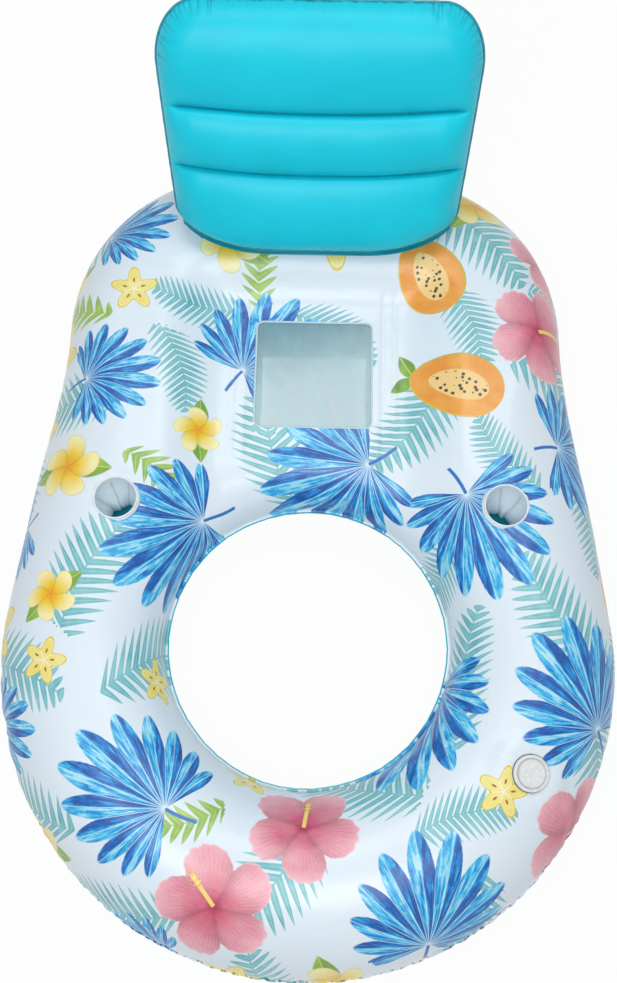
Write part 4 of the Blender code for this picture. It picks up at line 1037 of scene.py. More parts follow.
def lay_out_print(film, rng):
    """Choose where the motifs of the print fall: middle, size, turn and kind."""
    points = film.flat[::3, 2:-2, :2].reshape(-1, 2)
    layers = {"front_motif": [], "back_motif": []}
    tiers = (("front_motif", 0.93, 0.0, ((FAN, 9, 0.146), (HIBISCUS, 5, 0.102))),
             ("front_motif", 0.92, 0.0, ((FAN, 5, 0.112), (PAPAYA, 4, 0.102), (PLUMERIA, 5, 0.092))),
             ("front_motif", 0.94, 0.0, ((STARFRUIT, 10, 0.072), (FAN, 5, 0.084), (PLUMERIA, 3, 0.066))),
             ("back_motif", 0.78, 0.40, ((FERN, 20, 0.128),)),
             ("front_motif", 0.95, 0.0, ((STARFRUIT, 6, 0.044),)),
             ("back_motif", 0.78, 0.52, ((FERN, 16, 0.090), (SPRIG, 5, 0.070))))
    for layer, room, under, kinds in tiers:
        order = [(kind, size) for kind, count, size in kinds for _ in range(count)]
        for index in rng.permutation(len(order)):
            kind, size = order[index]
            own = size * rng.uniform(0.92, 1.08)
            tries = points[rng.integers(0, len(points), 900)]
            turn = rng.uniform(0.0, math.tau)
            gaps = np.full(len(tries), 9.0)
            for name, share in ((layer, room), ("front_motif", under)):
                for x, y, other, _turn, _kind in layers[name] if share else ():
                    away = np.hypot(tries[:, 0] - x, tries[:, 1] - y)
                    gaps = np.minimum(gaps, away - share * (own + other))
            fits = np.flatnonzero(gaps > 0.0)
            if len(fits):
                best = fits[np.argmin(gaps[fits])]
                layers[layer].append((*tries[best], own, turn, kind))
    return layers


def stamp_print(mesh, layers):
    """Store on each face corner the coordinates of the motif that the face belongs to."""
    count = len(mesh.polygons)
    film_places = numbers(mesh.attributes["film"].data, "vector", float, 3)[:, :2]
    total = numbers(mesh.polygons, "loop_total", int)
    corner_vertex = numbers(mesh.loops, "vertex_index", int)
    face = np.repeat(np.arange(count), total)
    corner = film_places[corner_vertex]
    centre = np.stack([np.bincount(face, corner[:, k], count) / total for k in (0, 1)], axis=1)
    for name, motifs in layers.items():
        places = np.array(motifs)
        away = np.hypot(centre[:, None, 0] - places[None, :, 0], centre[:, None, 1] - places[None, :, 1])
        owner = places[np.argmin(away / places[None, :, 2], axis=1)][face]
        offset = (corner - owner[:, :2]) / owner[:, 2:3]
        cosine, sine = np.cos(owner[:, 3]), np.sin(owner[:, 3])
        across = offset[:, 0] * cosine + offset[:, 1] * sine
        up = offset[:, 1] * cosine - offset[:, 0] * sine
        layer = mesh.attributes.new(name, "FLOAT_VECTOR", "CORNER")
        layer.data.foreach_set("vector", np.stack([across, up, owner[:, 4]], axis=1).ravel())


def open_film(bm, inside, snap):
    """Cut an opening: delete the faces inside it and draw the edge left onto its outline."""
    before = {edge for edge in bm.edges if edge.is_boundary}
    gone = [face for face in bm.faces if inside(face.calc_center_median())]
    bmesh.ops.delete(bm, geom=gone, context="FACES")
    rim = {vert for edge in bm.edges if edge.is_boundary and edge not in before for vert in edge.verts}
    for vert in rim:
        snap(vert)
    around = {other for vert in rim for edge in vert.link_edges for other in edge.verts} - rim
    bmesh.ops.smooth_vert(bm, verts=list(around), factor=0.4, use_axis_x=True, use_axis_y=True,
                          use_axis_z=True)


def window_test(grow, low, high):
    """Tests and snaps for the window's outline between two heights."""
    half = np.array([WINDOW_HALF_WIDTH + grow, WINDOW_HALF_LENGTH + grow])

    def inside(centre):
        """Whether a face lies in the window."""
        return abs(centre.x) < half[0] and abs(centre.y - WINDOW_Y) < half[1] and low < centre.z < high

    def snap(vert):
        """Move a corner onto the outline."""
        x, y = onto_window(np.array([vert.co.x, vert.co.y - WINDOW_Y]), half, WINDOW_CORNER + grow)
        vert.co.x = x
        vert.co.y = y + WINDOW_Y

    return inside, snap


def round_test(centre, axis, radius, reach=0.05):
    """Tests and snaps for a round opening about an axis."""
    def part(point):
        """How far along the axis a point lies, and its offset beside it."""
        up = (point - centre).dot(axis)
        return up, point - centre - axis * up

    def inside(point):
        """Whether a face lies in the opening."""
        up, beside = part(point)
        return abs(up) < reach and beside.length < radius

    def snap(vert):
        """Move a corner onto the circle."""
        up, beside = part(vert.co)
        vert.co = centre + axis * up + beside.normalized() * radius

    return inside, snap


def film_piece(name, film, lip_drop, body, material, replaces, openings, layers=None):
    """A ring film as a finished piece, its openings cut and its print stamped."""
    places, stored = film.rows_with_lips(lip_drop)
    bm = lofted(places, True, stored)
    if film.side < 0:
        bmesh.ops.reverse_faces(bm, faces=bm.faces)
    for inside, snap in openings:
        open_film(bm, inside, snap)
    piece = present(name, bm, body, material, replaces, Matrix.Translation(SHIFT))
    if layers:
        stamp_print(piece.data, layers)
    return piece


class RingSizes(bpy.types.PropertyGroup):
    """Sizes of the ring's films and of their creases."""

    columns: IntProperty(name="Columns", description="Stations round the ring", default=1200, min=120)
    top_rows: IntProperty(name="Top rows", description="Rows across the top film", default=70, min=24)
    bottom_rows: IntProperty(name="Bottom rows", description="Rows across the bottom film", default=30,
                             min=20)
    pucker_depth: FloatProperty(name="Pucker depth", description="Deepest crease at the outer seam",
                                default=0.0056, unit="LENGTH")
    pucker_spacing: FloatProperty(name="Pucker spacing", description="Mean distance between creases",
                                  default=0.022, unit="LENGTH")
    pucker_reach: FloatProperty(name="Pucker reach", description="Longest crease", default=0.085,
                                unit="LENGTH")
    swell: FloatProperty(name="Swell", description="Height of the slow rises of the film", default=0.0009,
                         unit="LENGTH")
    tie_dip: FloatProperty(name="Tie dip", description="How deep the tie welds draw the seat in",
                           default=0.0024, unit="LENGTH")


class RingFilms(bpy.types.Operator):
    """Make the printed top film and the teal bottom film of the ring, with their weld lips"""

    bl_idname = "pool_chair.ring_films"
    bl_label = "Ring films"

    def execute(self, context):
        """Loft both films, crease them and cut the openings."""
        sizes = context.scene.pool_chair_ring
        top = Film(1, sizes.columns, sizes.top_rows, OUTER_FINE_ROWS)
        layers = lay_out_print(top, np.random.default_rng(12))
        shape_top(top, np.random.default_rng(5), sizes)
        top.normals = top.measure_normals()
        bottom = Film(-1, sizes.columns, sizes.bottom_rows, 10)
        bottom.push(puckers(np.random.default_rng(5), bottom.along[:, None], bottom.from_outer, bottom.total,
                            sizes.pucker_spacing, sizes.pucker_depth, sizes.pucker_reach, PUCKER_WIDTH,
                            lambda place: 0.8))
        bottom.places[..., 2] = np.maximum(bottom.places[..., 2], SHEET)
        bottom.places[:, -1] = top.places[:, -1]
        bottom.places[:, 0] = top.places[:, 0]
        window = window_test(WINDOW_GROW, 0.15, 0.30)
        cups = []
        for node in CUP_SLEEVES:
            centre = middle(node)
            centre.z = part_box(node)[1].z
            cups.append(round_test(centre, UP, CUP_RADIUS + OPENING_GAP))
        valve = round_test(VALVE_POINT - SHIFT, VALVE_AXIS, COLLAR_RADIUS + OPENING_GAP, 0.02)
        film_piece("ring_top_film", top, 0.0, "ring", printed_film(), ("ring_top_sheet",),
                   [window, *cups, valve], layers)
        film_piece("ring_bottom_film", bottom, 0.0009, "ring",
                   solid_film("bottom_film", "109FB4", "1FC0D0"), ("ring_bottom_sheet",),
                   [window_test(WINDOW_GROW, -0.01, 0.10)])
        return {"FINISHED"}


# The seat window
class SeatSizes(bpy.types.PropertyGroup):
    """Sizes of the seat's net and of the well under it."""

    mesh_size: FloatProperty(name="Mesh", description="Distance between the net's threads", default=0.0027,
                             unit="LENGTH")
    thread: FloatProperty(name="Thread", description="Thickness of a thread", default=0.0015, unit="LENGTH")
    sag: FloatProperty(name="Sag", description="How far the net hangs in the middle", default=0.004,
                       unit="LENGTH")
    border: FloatProperty(name="Border", description="Width of the weld round the window", default=0.0014,
                          unit="LENGTH")
    well_bulge: FloatProperty(name="Well bulge", description="How far the air pushes the well's wall in",
                              default=0.007, unit="LENGTH")


class SeatWindow(bpy.types.Operator):
    """Make the net, its weld border, the well under it and the seat's tie strips"""

    bl_idname = "pool_chair.seat_window"
    bl_label = "Seat window"

    def execute(self, context):
        """Build each piece of the seat."""
        sizes = context.scene.pool_chair_seat
        net_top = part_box("seat_mesh")[1].z
        self.make_net(sizes, net_top)
        self.make_border(sizes, net_top)
        self.make_well(sizes)
        self.make_ties()
        return {"FINISHED"}

    def make_net(self, sizes, top):
        """A diamond net of real threads: a turned grid, trimmed to the window and wired."""
        reach = WINDOW_HALF_WIDTH + 0.008
        count = int(2.0 * reach * math.sqrt(2.0) / sizes.mesh_size)
        bm = bmesh.new()
        bmesh.ops.create_grid(bm, x_segments=count, y_segments=count, size=count * sizes.mesh_size / 2.0)
        bmesh.ops.rotate(bm, verts=bm.verts, matrix=Matrix.Rotation(math.pi / 4.0, 3, "Z"))
        for axis in (Vector((1.0, 0.0, 0.0)), Vector((0.0, 1.0, 0.0))):
            for sign in (1.0, -1.0):
                geometry = bm.verts[:] + bm.edges[:] + bm.faces[:]
                bmesh.ops.bisect_plane(bm, geom=geometry, dist=1e-6, plane_co=axis * sign * reach,
                                       plane_no=axis * sign, clear_outer=True)
        bmesh.ops.wireframe(bm, faces=bm.faces[:], thickness=sizes.thread, offset=0.0, use_replace=True,
                            use_boundary=True, use_even_offset=True)
        for vert in bm.verts:
            across = min(abs(vert.co.x) / WINDOW_HALF_WIDTH, 1.0)
            along = min(abs(vert.co.y) / WINDOW_HALF_LENGTH, 1.0)
            vert.co.z += top - sizes.thread - sizes.sag * (1.0 - across ** 2) * (1.0 - along ** 2)
        place = Matrix.Translation(SHIFT + Vector((0.0, WINDOW_Y, 0.0)))
        present("seat_net", bm, "ring", net_cord(), ("seat_mesh",), place, smooth=False)

    def make_border(self, sizes, net_top):
        """The white weld band round the window, with a bead at its inner edge."""
        seat = SEAM_HEIGHT + CROWN_RISE * SEAT_FULLNESS_SHARE
        count = 240
        rim = ((-0.0015, net_top - 0.0008), (-0.0015, seat + 0.0001), (-0.0009, seat + 0.0005),
               (0.0000, seat + 0.0006), (0.0009, seat + 0.0005), (sizes.border, seat + 0.0005),
               (sizes.border + 0.0005, seat + 0.0001), (sizes.border + 0.0005, net_top - 0.0008))
        loops = np.empty((count, len(rim), 3))
        for k, (grow, height) in enumerate(rim):
            loops[:, k, :2] = window_loop(grow, count)
            loops[:, k, 2] = height
        bm = tubed(loops, True)
        band = Look("weld_band")
        place = band.places()
        ribs = band.node("TexWave", {"bands_direction": "DIAGONAL"}, {"Vector": place, "Scale": 160.0})
        band.relief(ribs.outputs["Fac"], 0.0003, 0.5)
        tone = band.noise(place, 60.0, 2.0)
        material = band.finish(band.colour(tone, "BCD5E0", "D3E5ED"), 0.36 + tone * 0.1, 0.1)
        present("window_weld_band", bm, "ring", material, ("mesh_weld_tape",),
                Matrix.Translation(SHIFT))

    def make_well(self, sizes):
        """The well's wall, pushed in by the air, with standing wrinkles, welded flanges, painted shade at its
        top and painted light at its foot.
        """
        low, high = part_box("seat_well_wall")
        bottom, top = low.z + SHEET, high.z - SHEET
        count = 320
        levels = np.linspace(0.0, 1.0, 26)
        rng = np.random.default_rng(3)
        phases = rng.uniform(0.0, math.tau, 4)
        turn = np.arange(count) / count * math.tau
        wrinkle = sum(np.sin(turn * n + phase) for n, phase in zip((17, 29, 41, 56), phases)) / 4.0
        loops = np.empty((count, len(levels) + 2, 3))
        grows = [(0.008, bottom)] + [(None, mix(bottom, top, level)) for level in levels] + [(0.008, top)]
        for k, (grow, height) in enumerate(grows):
            if grow is None:
                level = levels[k - 1]
                arch = math.sin(math.pi * level)
                points = window_loop(-0.0006, count)
                inward = unit(points - (0.0, WINDOW_Y))
                points = points - inward * (arch * (sizes.well_bulge + 0.0022 * wrinkle))[:, None]
            else:
                points = window_loop(grow, count)
            loops[:, k, :2] = points
            loops[:, k, 2] = height
        bm = lofted(np.concatenate([loops, loops[:1]], axis=0), True)
        look = Look("well_film")
        # Painted light and shade: dark at the top of the wall, where it lies in shade, and near white at its
        # foot, in place of the light through the film and off the floor
        level = (look.split(look.places())[2] - bottom) / (top - bottom)
        blotch = look.noise(look.places(), 20.0, 2.0)
        look.relief(blotch, 0.0010, 0.5)
        colour = look.colour((level + (blotch - 0.5) * 0.2).clamped(), "F2F8FA", "4C7E92")
        piece = present("seat_well_film", bm, "ring", look.finish(colour, 0.38, specular=0.4),
                        ("seat_well_wall",), Matrix.Translation(SHIFT))
        thickened(piece, SHEET)

    def make_ties(self):
        """Tie strips between the films beside the window, drawn to the welds."""
        look = solid_film("tie_film", "B9CFDB", "CFE0E9", 0.4, 0.1)
        stations = np.linspace(TIE_START_Y, TIE_END_Y, 40)
        for name, x in (("left", -TIE_X), ("right", TIE_X)):
            full = fullness(np.full_like(stations, x), stations)
            top = SEAM_HEIGHT + CROWN_RISE * full - 0.0072
            low = SEAM_HEIGHT - BELLY_DROP * full + 0.0030
            rows = []
            for share in np.linspace(0.0, 1.0, 14):
                pull = 0.006 * math.sin(math.pi * share) * np.sin(stations * 60.0)
                rows.append(np.stack([x + pull, stations, mix(low, top, share)], axis=1))
            bm = lofted(np.array(rows))
            piece = present(name + "_seat_tie", bm, "ring", look, (name + "_seat_baffle",),
                            Matrix.Translation(SHIFT))
            thickened(piece, SHEET * 2.0)


# The cup holders
class CupSizes(bpy.types.PropertyGroup):
    """Sizes of the cup holders."""

    folds: FloatProperty(name="Folds", description="How far the sleeve's folds stand in", default=0.0046,
                         unit="LENGTH")
    bulge: FloatProperty(name="Bulge", description="How far the air pushes in the sleeve's head side",
                         default=0.0215, unit="LENGTH")
    rim: FloatProperty(name="Rim", description="Width of the weld round a cup's mouth", default=0.0018,
                       unit="LENGTH")


class CupHolders(bpy.types.Operator):
    """Make both cup holders: folded sleeves, floors and welded rims"""

    bl_idname = "pool_chair.cup_holders"
    bl_label = "Cup holders"

    def execute(self, context):
        """Build the three pieces of each cup holder."""
        sizes = context.scene.pool_chair_cups
        sleeve_look = folded_film()
        rim_look = solid_film("rim_weld", "E6EEF4", "F8FAFC", 0.26, 0.4, 60.0)
        floor_look = solid_film("cup_floor_film", "12A6BA", "27C2D2", 0.25, 0.4)
        for side, phase in (("left", 0.4), ("right", 2.2)):
            self.make_cup(side, phase, sizes, sleeve_look, rim_look, floor_look)
        return {"FINISHED"}

    def make_cup(self, side, phase, sizes, sleeve_look, rim_look, floor_look):
        """A sleeve that the air folds inwards, its domed floor and its rim."""
        sleeve = side + "_cup_sleeve"
        centre = middle(sleeve) + SHIFT
        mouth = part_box(sleeve)[1].z - SHEET
        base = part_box(sleeve)[0].z + SHEET
        profile = [(mix(CUP_RADIUS, CUP_FLOOR_RADIUS, k / 30), mix(mouth, base, k / 30)) for k in range(31)]
        flanges = (CUP_RADIUS + CUP_FLANGE, mouth - 0.0040), (CUP_FLOOR_RADIUS + CUP_FLANGE, base)
        bm = spun([flanges[0], *profile, flanges[1]], 120, False)
        depth = mouth - base
        folds = bm.verts.layers.float_vector.new("fold")
        outward = math.pi / 2.0 + (0.5 if side == "left" else -0.5)
        for vert in bm.verts:
            level = (mouth - vert.co.z) / depth
            radius = math.hypot(vert.co.x, vert.co.y)
            if radius > CUP_RADIUS + 0.001:
                continue
            turn = math.atan2(vert.co.y, vert.co.x)
            level = min(max(level, 0.0), 1.0)
            arch = math.sin(math.pi * level ** 2.2) ** 0.8
            lean = (0.5 + 0.5 * math.cos(turn - outward)) ** 2
            wave = abs(math.cos(3.5 * turn + phase + 0.8 * math.sin(turn + phase) + level * 0.5)) ** 0.8
            fine = math.cos(11.0 * turn + phase * 3.0 + level * 3.0)
            pull = arch * (0.0016 + lean * sizes.bulge + sizes.folds * wave + 0.0004 * fine)
            # How much painted shade the sleeve's material lays here, along the creases between the folds
            vert[folds] = ((1.0 - wave) ** 5 * ease(level, 0.04, 0.2), 0.0, 0.0)
            scale = (radius - pull) / radius
            vert.co.x *= scale
            vert.co.y *= scale
        place = Matrix.Translation((centre.x, centre.y, 0.0))
        piece = present(side + "_cup_liner", bm, "ring", sleeve_look, (sleeve,), place)
        thickened(piece, SHEET)
        edge = CUP_FLOOR_RADIUS + CUP_FLANGE
        floor = [(0.0, base - 0.0012), (edge * 0.35, base - 0.0010), (edge * 0.8, base - 0.0008),
                 (edge * 0.97, base - 0.0006), (edge, base - 0.0008), (edge, base - 0.0014),
                 (0.0, base - 0.0017)]
        present(side + "_cup_base", spun(floor, 96), "ring", floor_look,
                (side + "_cup_floor",), place)
        lip = [(CUP_RADIUS - 0.0006, mouth - 0.0010), (CUP_RADIUS - 0.0009, mouth + 0.0006),
               (CUP_RADIUS - 0.0003, mouth + 0.0013), (CUP_RADIUS + 0.0008, mouth + 0.0014),
               (CUP_RADIUS + sizes.rim, mouth + 0.0006),
               (CUP_RADIUS + sizes.rim + 0.0006, mouth - 0.0012)]
        present(side + "_cup_rim", spun(lip, 120), "ring", rim_look, (), place)


# The main valve
def standing(point, axis):
    """The place of a piece whose Z axis stands along an axis at a point."""
    place = axis.to_track_quat("Z", "Y").to_matrix().to_4x4()
    place.translation = point
    return place


def scalloped(bm, radius, count, depth):
    """Cut a fine grip into the outermost band of a turned piece."""
    for vert in bm.verts:
        away = math.hypot(vert.co.x, vert.co.y)
        if away > radius:
            turn = math.atan2(vert.co.y, vert.co.x)
            wave = 0.5 - 0.5 * math.cos(turn * count)
            scale = (away - depth * wave ** 2.0) / away
            vert.co.x *= scale
            vert.co.y *= scale
    return bm


class ValveSizes(bpy.types.PropertyGroup):
    """Sizes of the two valves."""

    grips: IntProperty(name="Grips", description="Teeth round the cap's edge", default=72, min=12)
    grip_depth: FloatProperty(name="Grip depth", description="Depth of a tooth", default=0.0005,
                              unit="LENGTH")
    dish: FloatProperty(name="Dish", description="Depth of the cap's hollow", default=0.0010, unit="LENGTH")
    pitch: FloatProperty(name="Pitch", description="Rise of the screw threads in one turn", default=0.003,
                         unit="LENGTH")


class MainValve(bpy.types.Operator):
    """Make the flush screw valve: collar, seals, insert with its spider, flap and cap"""

    bl_idname = "pool_chair.main_valve"
    bl_label = "Main valve"

    def execute(self, context):
        """Build the valve's six pieces on its axis."""
        sizes = context.scene.pool_chair_valves
        place = standing(VALVE_POINT, VALVE_AXIS)
        plastic = moulded("valve_plastic", "E3E6E6", "F4F5F3", 0.38)
        cap_plastic = moulded("cap_plastic", "D3DADD", "F4F6F5", 0.34, "groove")
        rubber = moulded("valve_rubber", "2E363C", "46505A", 0.55)

        collar = [(COLLAR_BORE + 0.0001, -0.0136), (COLLAR_RADIUS - 0.0006, -0.0138),
                  (COLLAR_RADIUS, -0.0132), (COLLAR_RADIUS, -0.0024), (COLLAR_RADIUS + 0.0012, -0.0010),
                  (COLLAR_RADIUS + 0.0100, -0.0011), (COLLAR_RADIUS + 0.0104, -0.0006),
                  (COLLAR_RADIUS + 0.0030, -0.0003), (COLLAR_RADIUS + 0.0009, 0.0002),
                  (COLLAR_RADIUS + 0.0004, 0.0008), (COLLAR_RADIUS - 0.0004, 0.0011),
                  (COLLAR_BORE + 0.0006, 0.0011), (COLLAR_BORE + 0.0001, 0.0006)]
        present("main_valve_collar", spun(collar, 128), "ring", plastic,
                ("main_valve_base",), place)

        seal = [(0.0268, SEAL_LOW + 0.0001), (0.0299, SEAL_LOW + 0.0001), (0.0303, SEAL_LOW + 0.0004),
                (0.0303, SEAL_HIGH - 0.0004), (0.0299, SEAL_HIGH - 0.0001), (0.0268, SEAL_HIGH - 0.0001)]
        present("main_valve_seal", spun(seal, 128), "valve_seal", rubber,
                ("main_valve_gasket",), place)

        self.make_insert(sizes, place, plastic)

        flap = [(0.0, -0.0040), (0.0009, -0.0041), (0.0013, -0.0046), (0.0012, -0.0056), (0.0012, -0.0106),
                (0.0020, -0.0113), (0.0180, -0.0112), (0.0238, -0.0110), (0.0240, -0.0113), (0.0238, -0.0116),
                (0.0120, -0.0120), (0.0, -0.0120)]
        present("main_valve_check_flap", spun(flap, 96), "valve_flap", rubber,
                ("main_valve_flap",), place)
        ring = [(0.0229, 0.0048), (0.0262, 0.0048), (0.0264, 0.0052), (0.0262, 0.0056), (0.0229, 0.0056),
                (0.0227, 0.0052)]
        present("main_valve_cap_seal", spun(ring, 96), "cap_seal", rubber,
                ("main_valve_cap_gasket",), place)

        cap = [(0.0, CAP_HIGH - sizes.dish - 0.0002), (0.0080, CAP_HIGH - sizes.dish - 0.0001),
               (0.0200, CAP_HIGH - sizes.dish), (0.0232, CAP_HIGH - sizes.dish + 0.0002),
               (0.0243, CAP_HIGH - 0.0004), (0.0250, CAP_HIGH - 0.0001), (0.0262, CAP_HIGH),
               (0.0276, CAP_HIGH - 0.0002), (0.0287, CAP_HIGH - 0.0008), (RIM_RADIUS, CAP_HIGH - 0.0015),
               (RIM_RADIUS, CAP_LOW + 0.0006), (RIM_RADIUS - 0.0004, CAP_LOW + 0.0001),
               (0.0232, CAP_LOW + 0.0001), (0.0217, CAP_LOW - 0.0004), (0.0216, -0.0020),
               (0.0212, -0.0024), (0.0202, -0.0024), (0.0200, -0.0018), (0.0200, CAP_LOW + 0.0002),
               (0.0194, CAP_LOW + 0.0008), (0.0, CAP_LOW + 0.0008)]
        bm = scalloped(spun(cap, 72 * 5), RIM_RADIUS - 0.0008, sizes.grips, sizes.grip_depth)
        # Mark the ring at the edge of the cap's dish, where the cap's material paints shade
        groove = bm.verts.layers.float_vector.new("groove")
        for vert in bm.verts:
            across = math.hypot(vert.co.x, vert.co.y)
            if vert.co.z > CAP_HIGH - sizes.dish - 0.001 and 0.0225 < across < 0.0245:
                vert[groove] = (1.0, 0.0, 0.0)
        joined(bm, thread(0.0216, -0.0018, 0.0048, sizes.pitch, 0.0004))
        present("main_valve_screw_cap", bm, "valve_cap", cap_plastic,
                ("main_valve_cap",), place)
        return {"FINISHED"}

    def make_insert(self, sizes, place, plastic):
        """The threaded barrel, its toothed rim, and the spider with the flap's seat across its foot."""
        shell = [(INSERT_BORE + 0.0001, INSERT_HIGH - 0.0004), (INSERT_BORE + 0.0005, INSERT_HIGH),
                 (RIM_RADIUS - 0.0004, INSERT_HIGH), (RIM_RADIUS, INSERT_HIGH - 0.0004),
                 (RIM_RADIUS, INSERT_LOW + 0.0004), (RIM_RADIUS - 0.0004, INSERT_LOW + 0.0001),
                 (BARREL_RADIUS + 0.0003, INSERT_LOW + 0.0001), (BARREL_RADIUS, INSERT_LOW - 0.0004),
                 (BARREL_RADIUS, INSERT_FOOT + 0.0006), (BARREL_RADIUS - 0.0005, INSERT_FOOT),
                 (INSERT_BORE - 0.0004, INSERT_FOOT), (INSERT_BORE + 0.0001, INSERT_FOOT + 0.0006)]
        bm = scalloped(spun(shell, 240), RIM_RADIUS - 0.0006, 48, 0.0004)
        joined(bm, thread(BARREL_RADIUS - 0.0001, INSERT_FOOT + 0.0012, 0.0090, sizes.pitch, 0.0006))
        hub = [(0.0018, INSERT_FOOT + 0.0001), (0.0043, INSERT_FOOT + 0.0001), (0.0045, INSERT_FOOT + 0.0004),
               (0.0045, INSERT_FOOT + 0.0018), (0.0041, INSERT_FOOT + 0.0021), (0.0018, INSERT_FOOT + 0.0021)]
        joined(bm, spun(hub, 48))
        reach = INSERT_BORE - HUB_RADIUS
        for quarter in range(4):
            bar = bmesh.new()
            bmesh.ops.create_cube(bar, size=1.0)
            bmesh.ops.scale(bar, verts=bar.verts, vec=(reach, SPIDER_WIDTH, SPIDER_HEIGHT))
            bmesh.ops.bevel(bar, geom=bar.edges[:], offset=0.0003, segments=2, profile=0.5, affect="EDGES",
                            material=-1)
            middle_of_bar = (HUB_RADIUS + reach / 2.0, 0.0, INSERT_FOOT + 0.0008)
            bmesh.ops.translate(bar, verts=bar.verts, vec=middle_of_bar)
            joined(bm, bar, Matrix.Rotation(quarter * math.pi / 2.0, 4, "Z"))
        present("main_valve_insert", bm, "valve_insert", plastic,
                ("main_valve_body",), place)


# The backrest
def stem_foot():
    """The point of the push-in valve's axis that lies level with its flange."""
    low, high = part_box("backrest_valve_flap")
    return (Vector(low) + Vector(high)) / 2.0 + STEM_AXIS * (STEM_IN + FLAP_BELOW_STEM)


class BackrestSizes(bpy.types.PropertyGroup):
    """Sizes of the backrest's cushion."""

    columns: IntProperty(name="Columns", description="Stations across the cushion", default=210, min=40)
    rows: IntProperty(name="Rows", description="Stations up the cushion", default=190, min=40)
    bow: FloatProperty(name="Bow", description="How far a crease hangs down in the middle", default=0.008,
                       unit="LENGTH")
    pucker_depth: FloatProperty(name="Pucker depth", description="Deepest crease at an upper corner",
                                default=0.0042, unit="LENGTH")
    pucker_reach: FloatProperty(name="Pucker reach", description="Longest crease at an upper corner",
                                default=0.042, unit="LENGTH")
    back_clearance: FloatProperty(name="Back clearance", default=0.0075, unit="LENGTH",
                                  description="How far the back skin keeps off the ring")


def crease_lines(x, bow):
    """How high up the slope the lower and the upper crease lie."""
    sag = bow * (1.0 - np.clip(np.abs(x) / CREASE_REACH, 0.0, 1.0) ** 2)
    return CHAMBER_HEIGHTS[0] - sag, CHAMBER_HEIGHTS[0] + CHAMBER_HEIGHTS[1] - sag


def pillow_half_width(up):
    """Half width of the backrest at heights up its slope."""
    half = mix(PILLOW_HALF_BASE, PILLOW_HALF_TOP, up / PILLOW_LENGTH)
    fall = np.clip(1.0 - up / PILLOW_BASE_RISE, 0.0, 1.0)
    low = half * mix(PILLOW_BASE_FLAT_SHARE, 1.0, np.sqrt(1.0 - fall ** 2))
    past = np.clip((up - PILLOW_LENGTH + PILLOW_CORNER_HEIGHT) / PILLOW_CORNER_HEIGHT, 0.0, 1.0)
    return np.where(up < PILLOW_BASE_RISE, low, half - PILLOW_CORNER_WIDTH * (1.0 - np.sqrt(1.0 - past ** 2)))


def pillow_depth(x, up, bow):
    """Half thickness of the cushion: three arched chambers whose creases hang in the middle and fade out."""
    held = 1.0 - ease(np.abs(x), CREASE_HELD, CREASE_END)
    floor = mix(1.0, CREASE_SHARE, held)
    limits = [np.zeros_like(x), *crease_lines(x, bow), np.full_like(x, PILLOW_LENGTH)]
    ends = [np.zeros_like(x), floor, floor, np.zeros_like(x)]
    arch = np.zeros_like(x)
    for k in range(3):
        along = np.clip((up - limits[k]) / (limits[k + 1] - limits[k]), 0.0, 1.0)
        power = BASE_POWER if k == 0 else 2.0
        offset = np.abs(2.0 * along - 1.0)
        fuller = np.maximum(1.0 - offset ** power, 0.0) ** (1.0 / power)
        rise = np.where(along < 0.5, fuller, np.sqrt(np.maximum(1.0 - offset ** 2, 0.0)))
        low_end = mix(ends[k], 1.0, rise)
        high_end = mix(ends[k + 1], 1.0, rise)
        whole = np.where(along < 0.5, low_end, high_end)
        inside = (up >= limits[k]) & (up <= limits[k + 1])
        arch = np.where(inside, whole, arch)
    past = np.clip((np.abs(x) - (pillow_half_width(up) - PILLOW_SIDE_ROUND)) / PILLOW_SIDE_ROUND, 0.0, 1.0)
    return PILLOW_THICKNESS / 2.0 * arch * np.sqrt(1.0 - past ** 2)


def pillow_wrap(x, up):
    """How far the cushion's lower corners wrap back round the ring's head."""
    straight = PILLOW_HALF_BASE * PILLOW_BASE_FLAT_SHARE
    past = np.maximum(np.abs(x) - straight, 0.0) / (PILLOW_HALF_BASE - straight)
    fade = 1.0 - up / PILLOW_LENGTH
    return -PILLOW_WRAP * past ** 2 * fade ** 2


def pillow_outline(count):
    """The cushion's seam in plan, evenly spaced, from the middle of its foot round and back."""
    turn = np.linspace(0.0, 1.0, 400)
    up = PILLOW_LENGTH * (0.5 - 0.5 * np.cos(math.pi * turn))
    half = pillow_half_width(up)
    right = np.stack([half, up], axis=1)
    left = right[::-1] * (-1.0, 1.0)
    loop = np.concatenate([[[0.0, 0.0]], right, [[0.0, PILLOW_LENGTH]], left, [[0.0, 0.0]]])
    return evenly_spaced(loop, count)


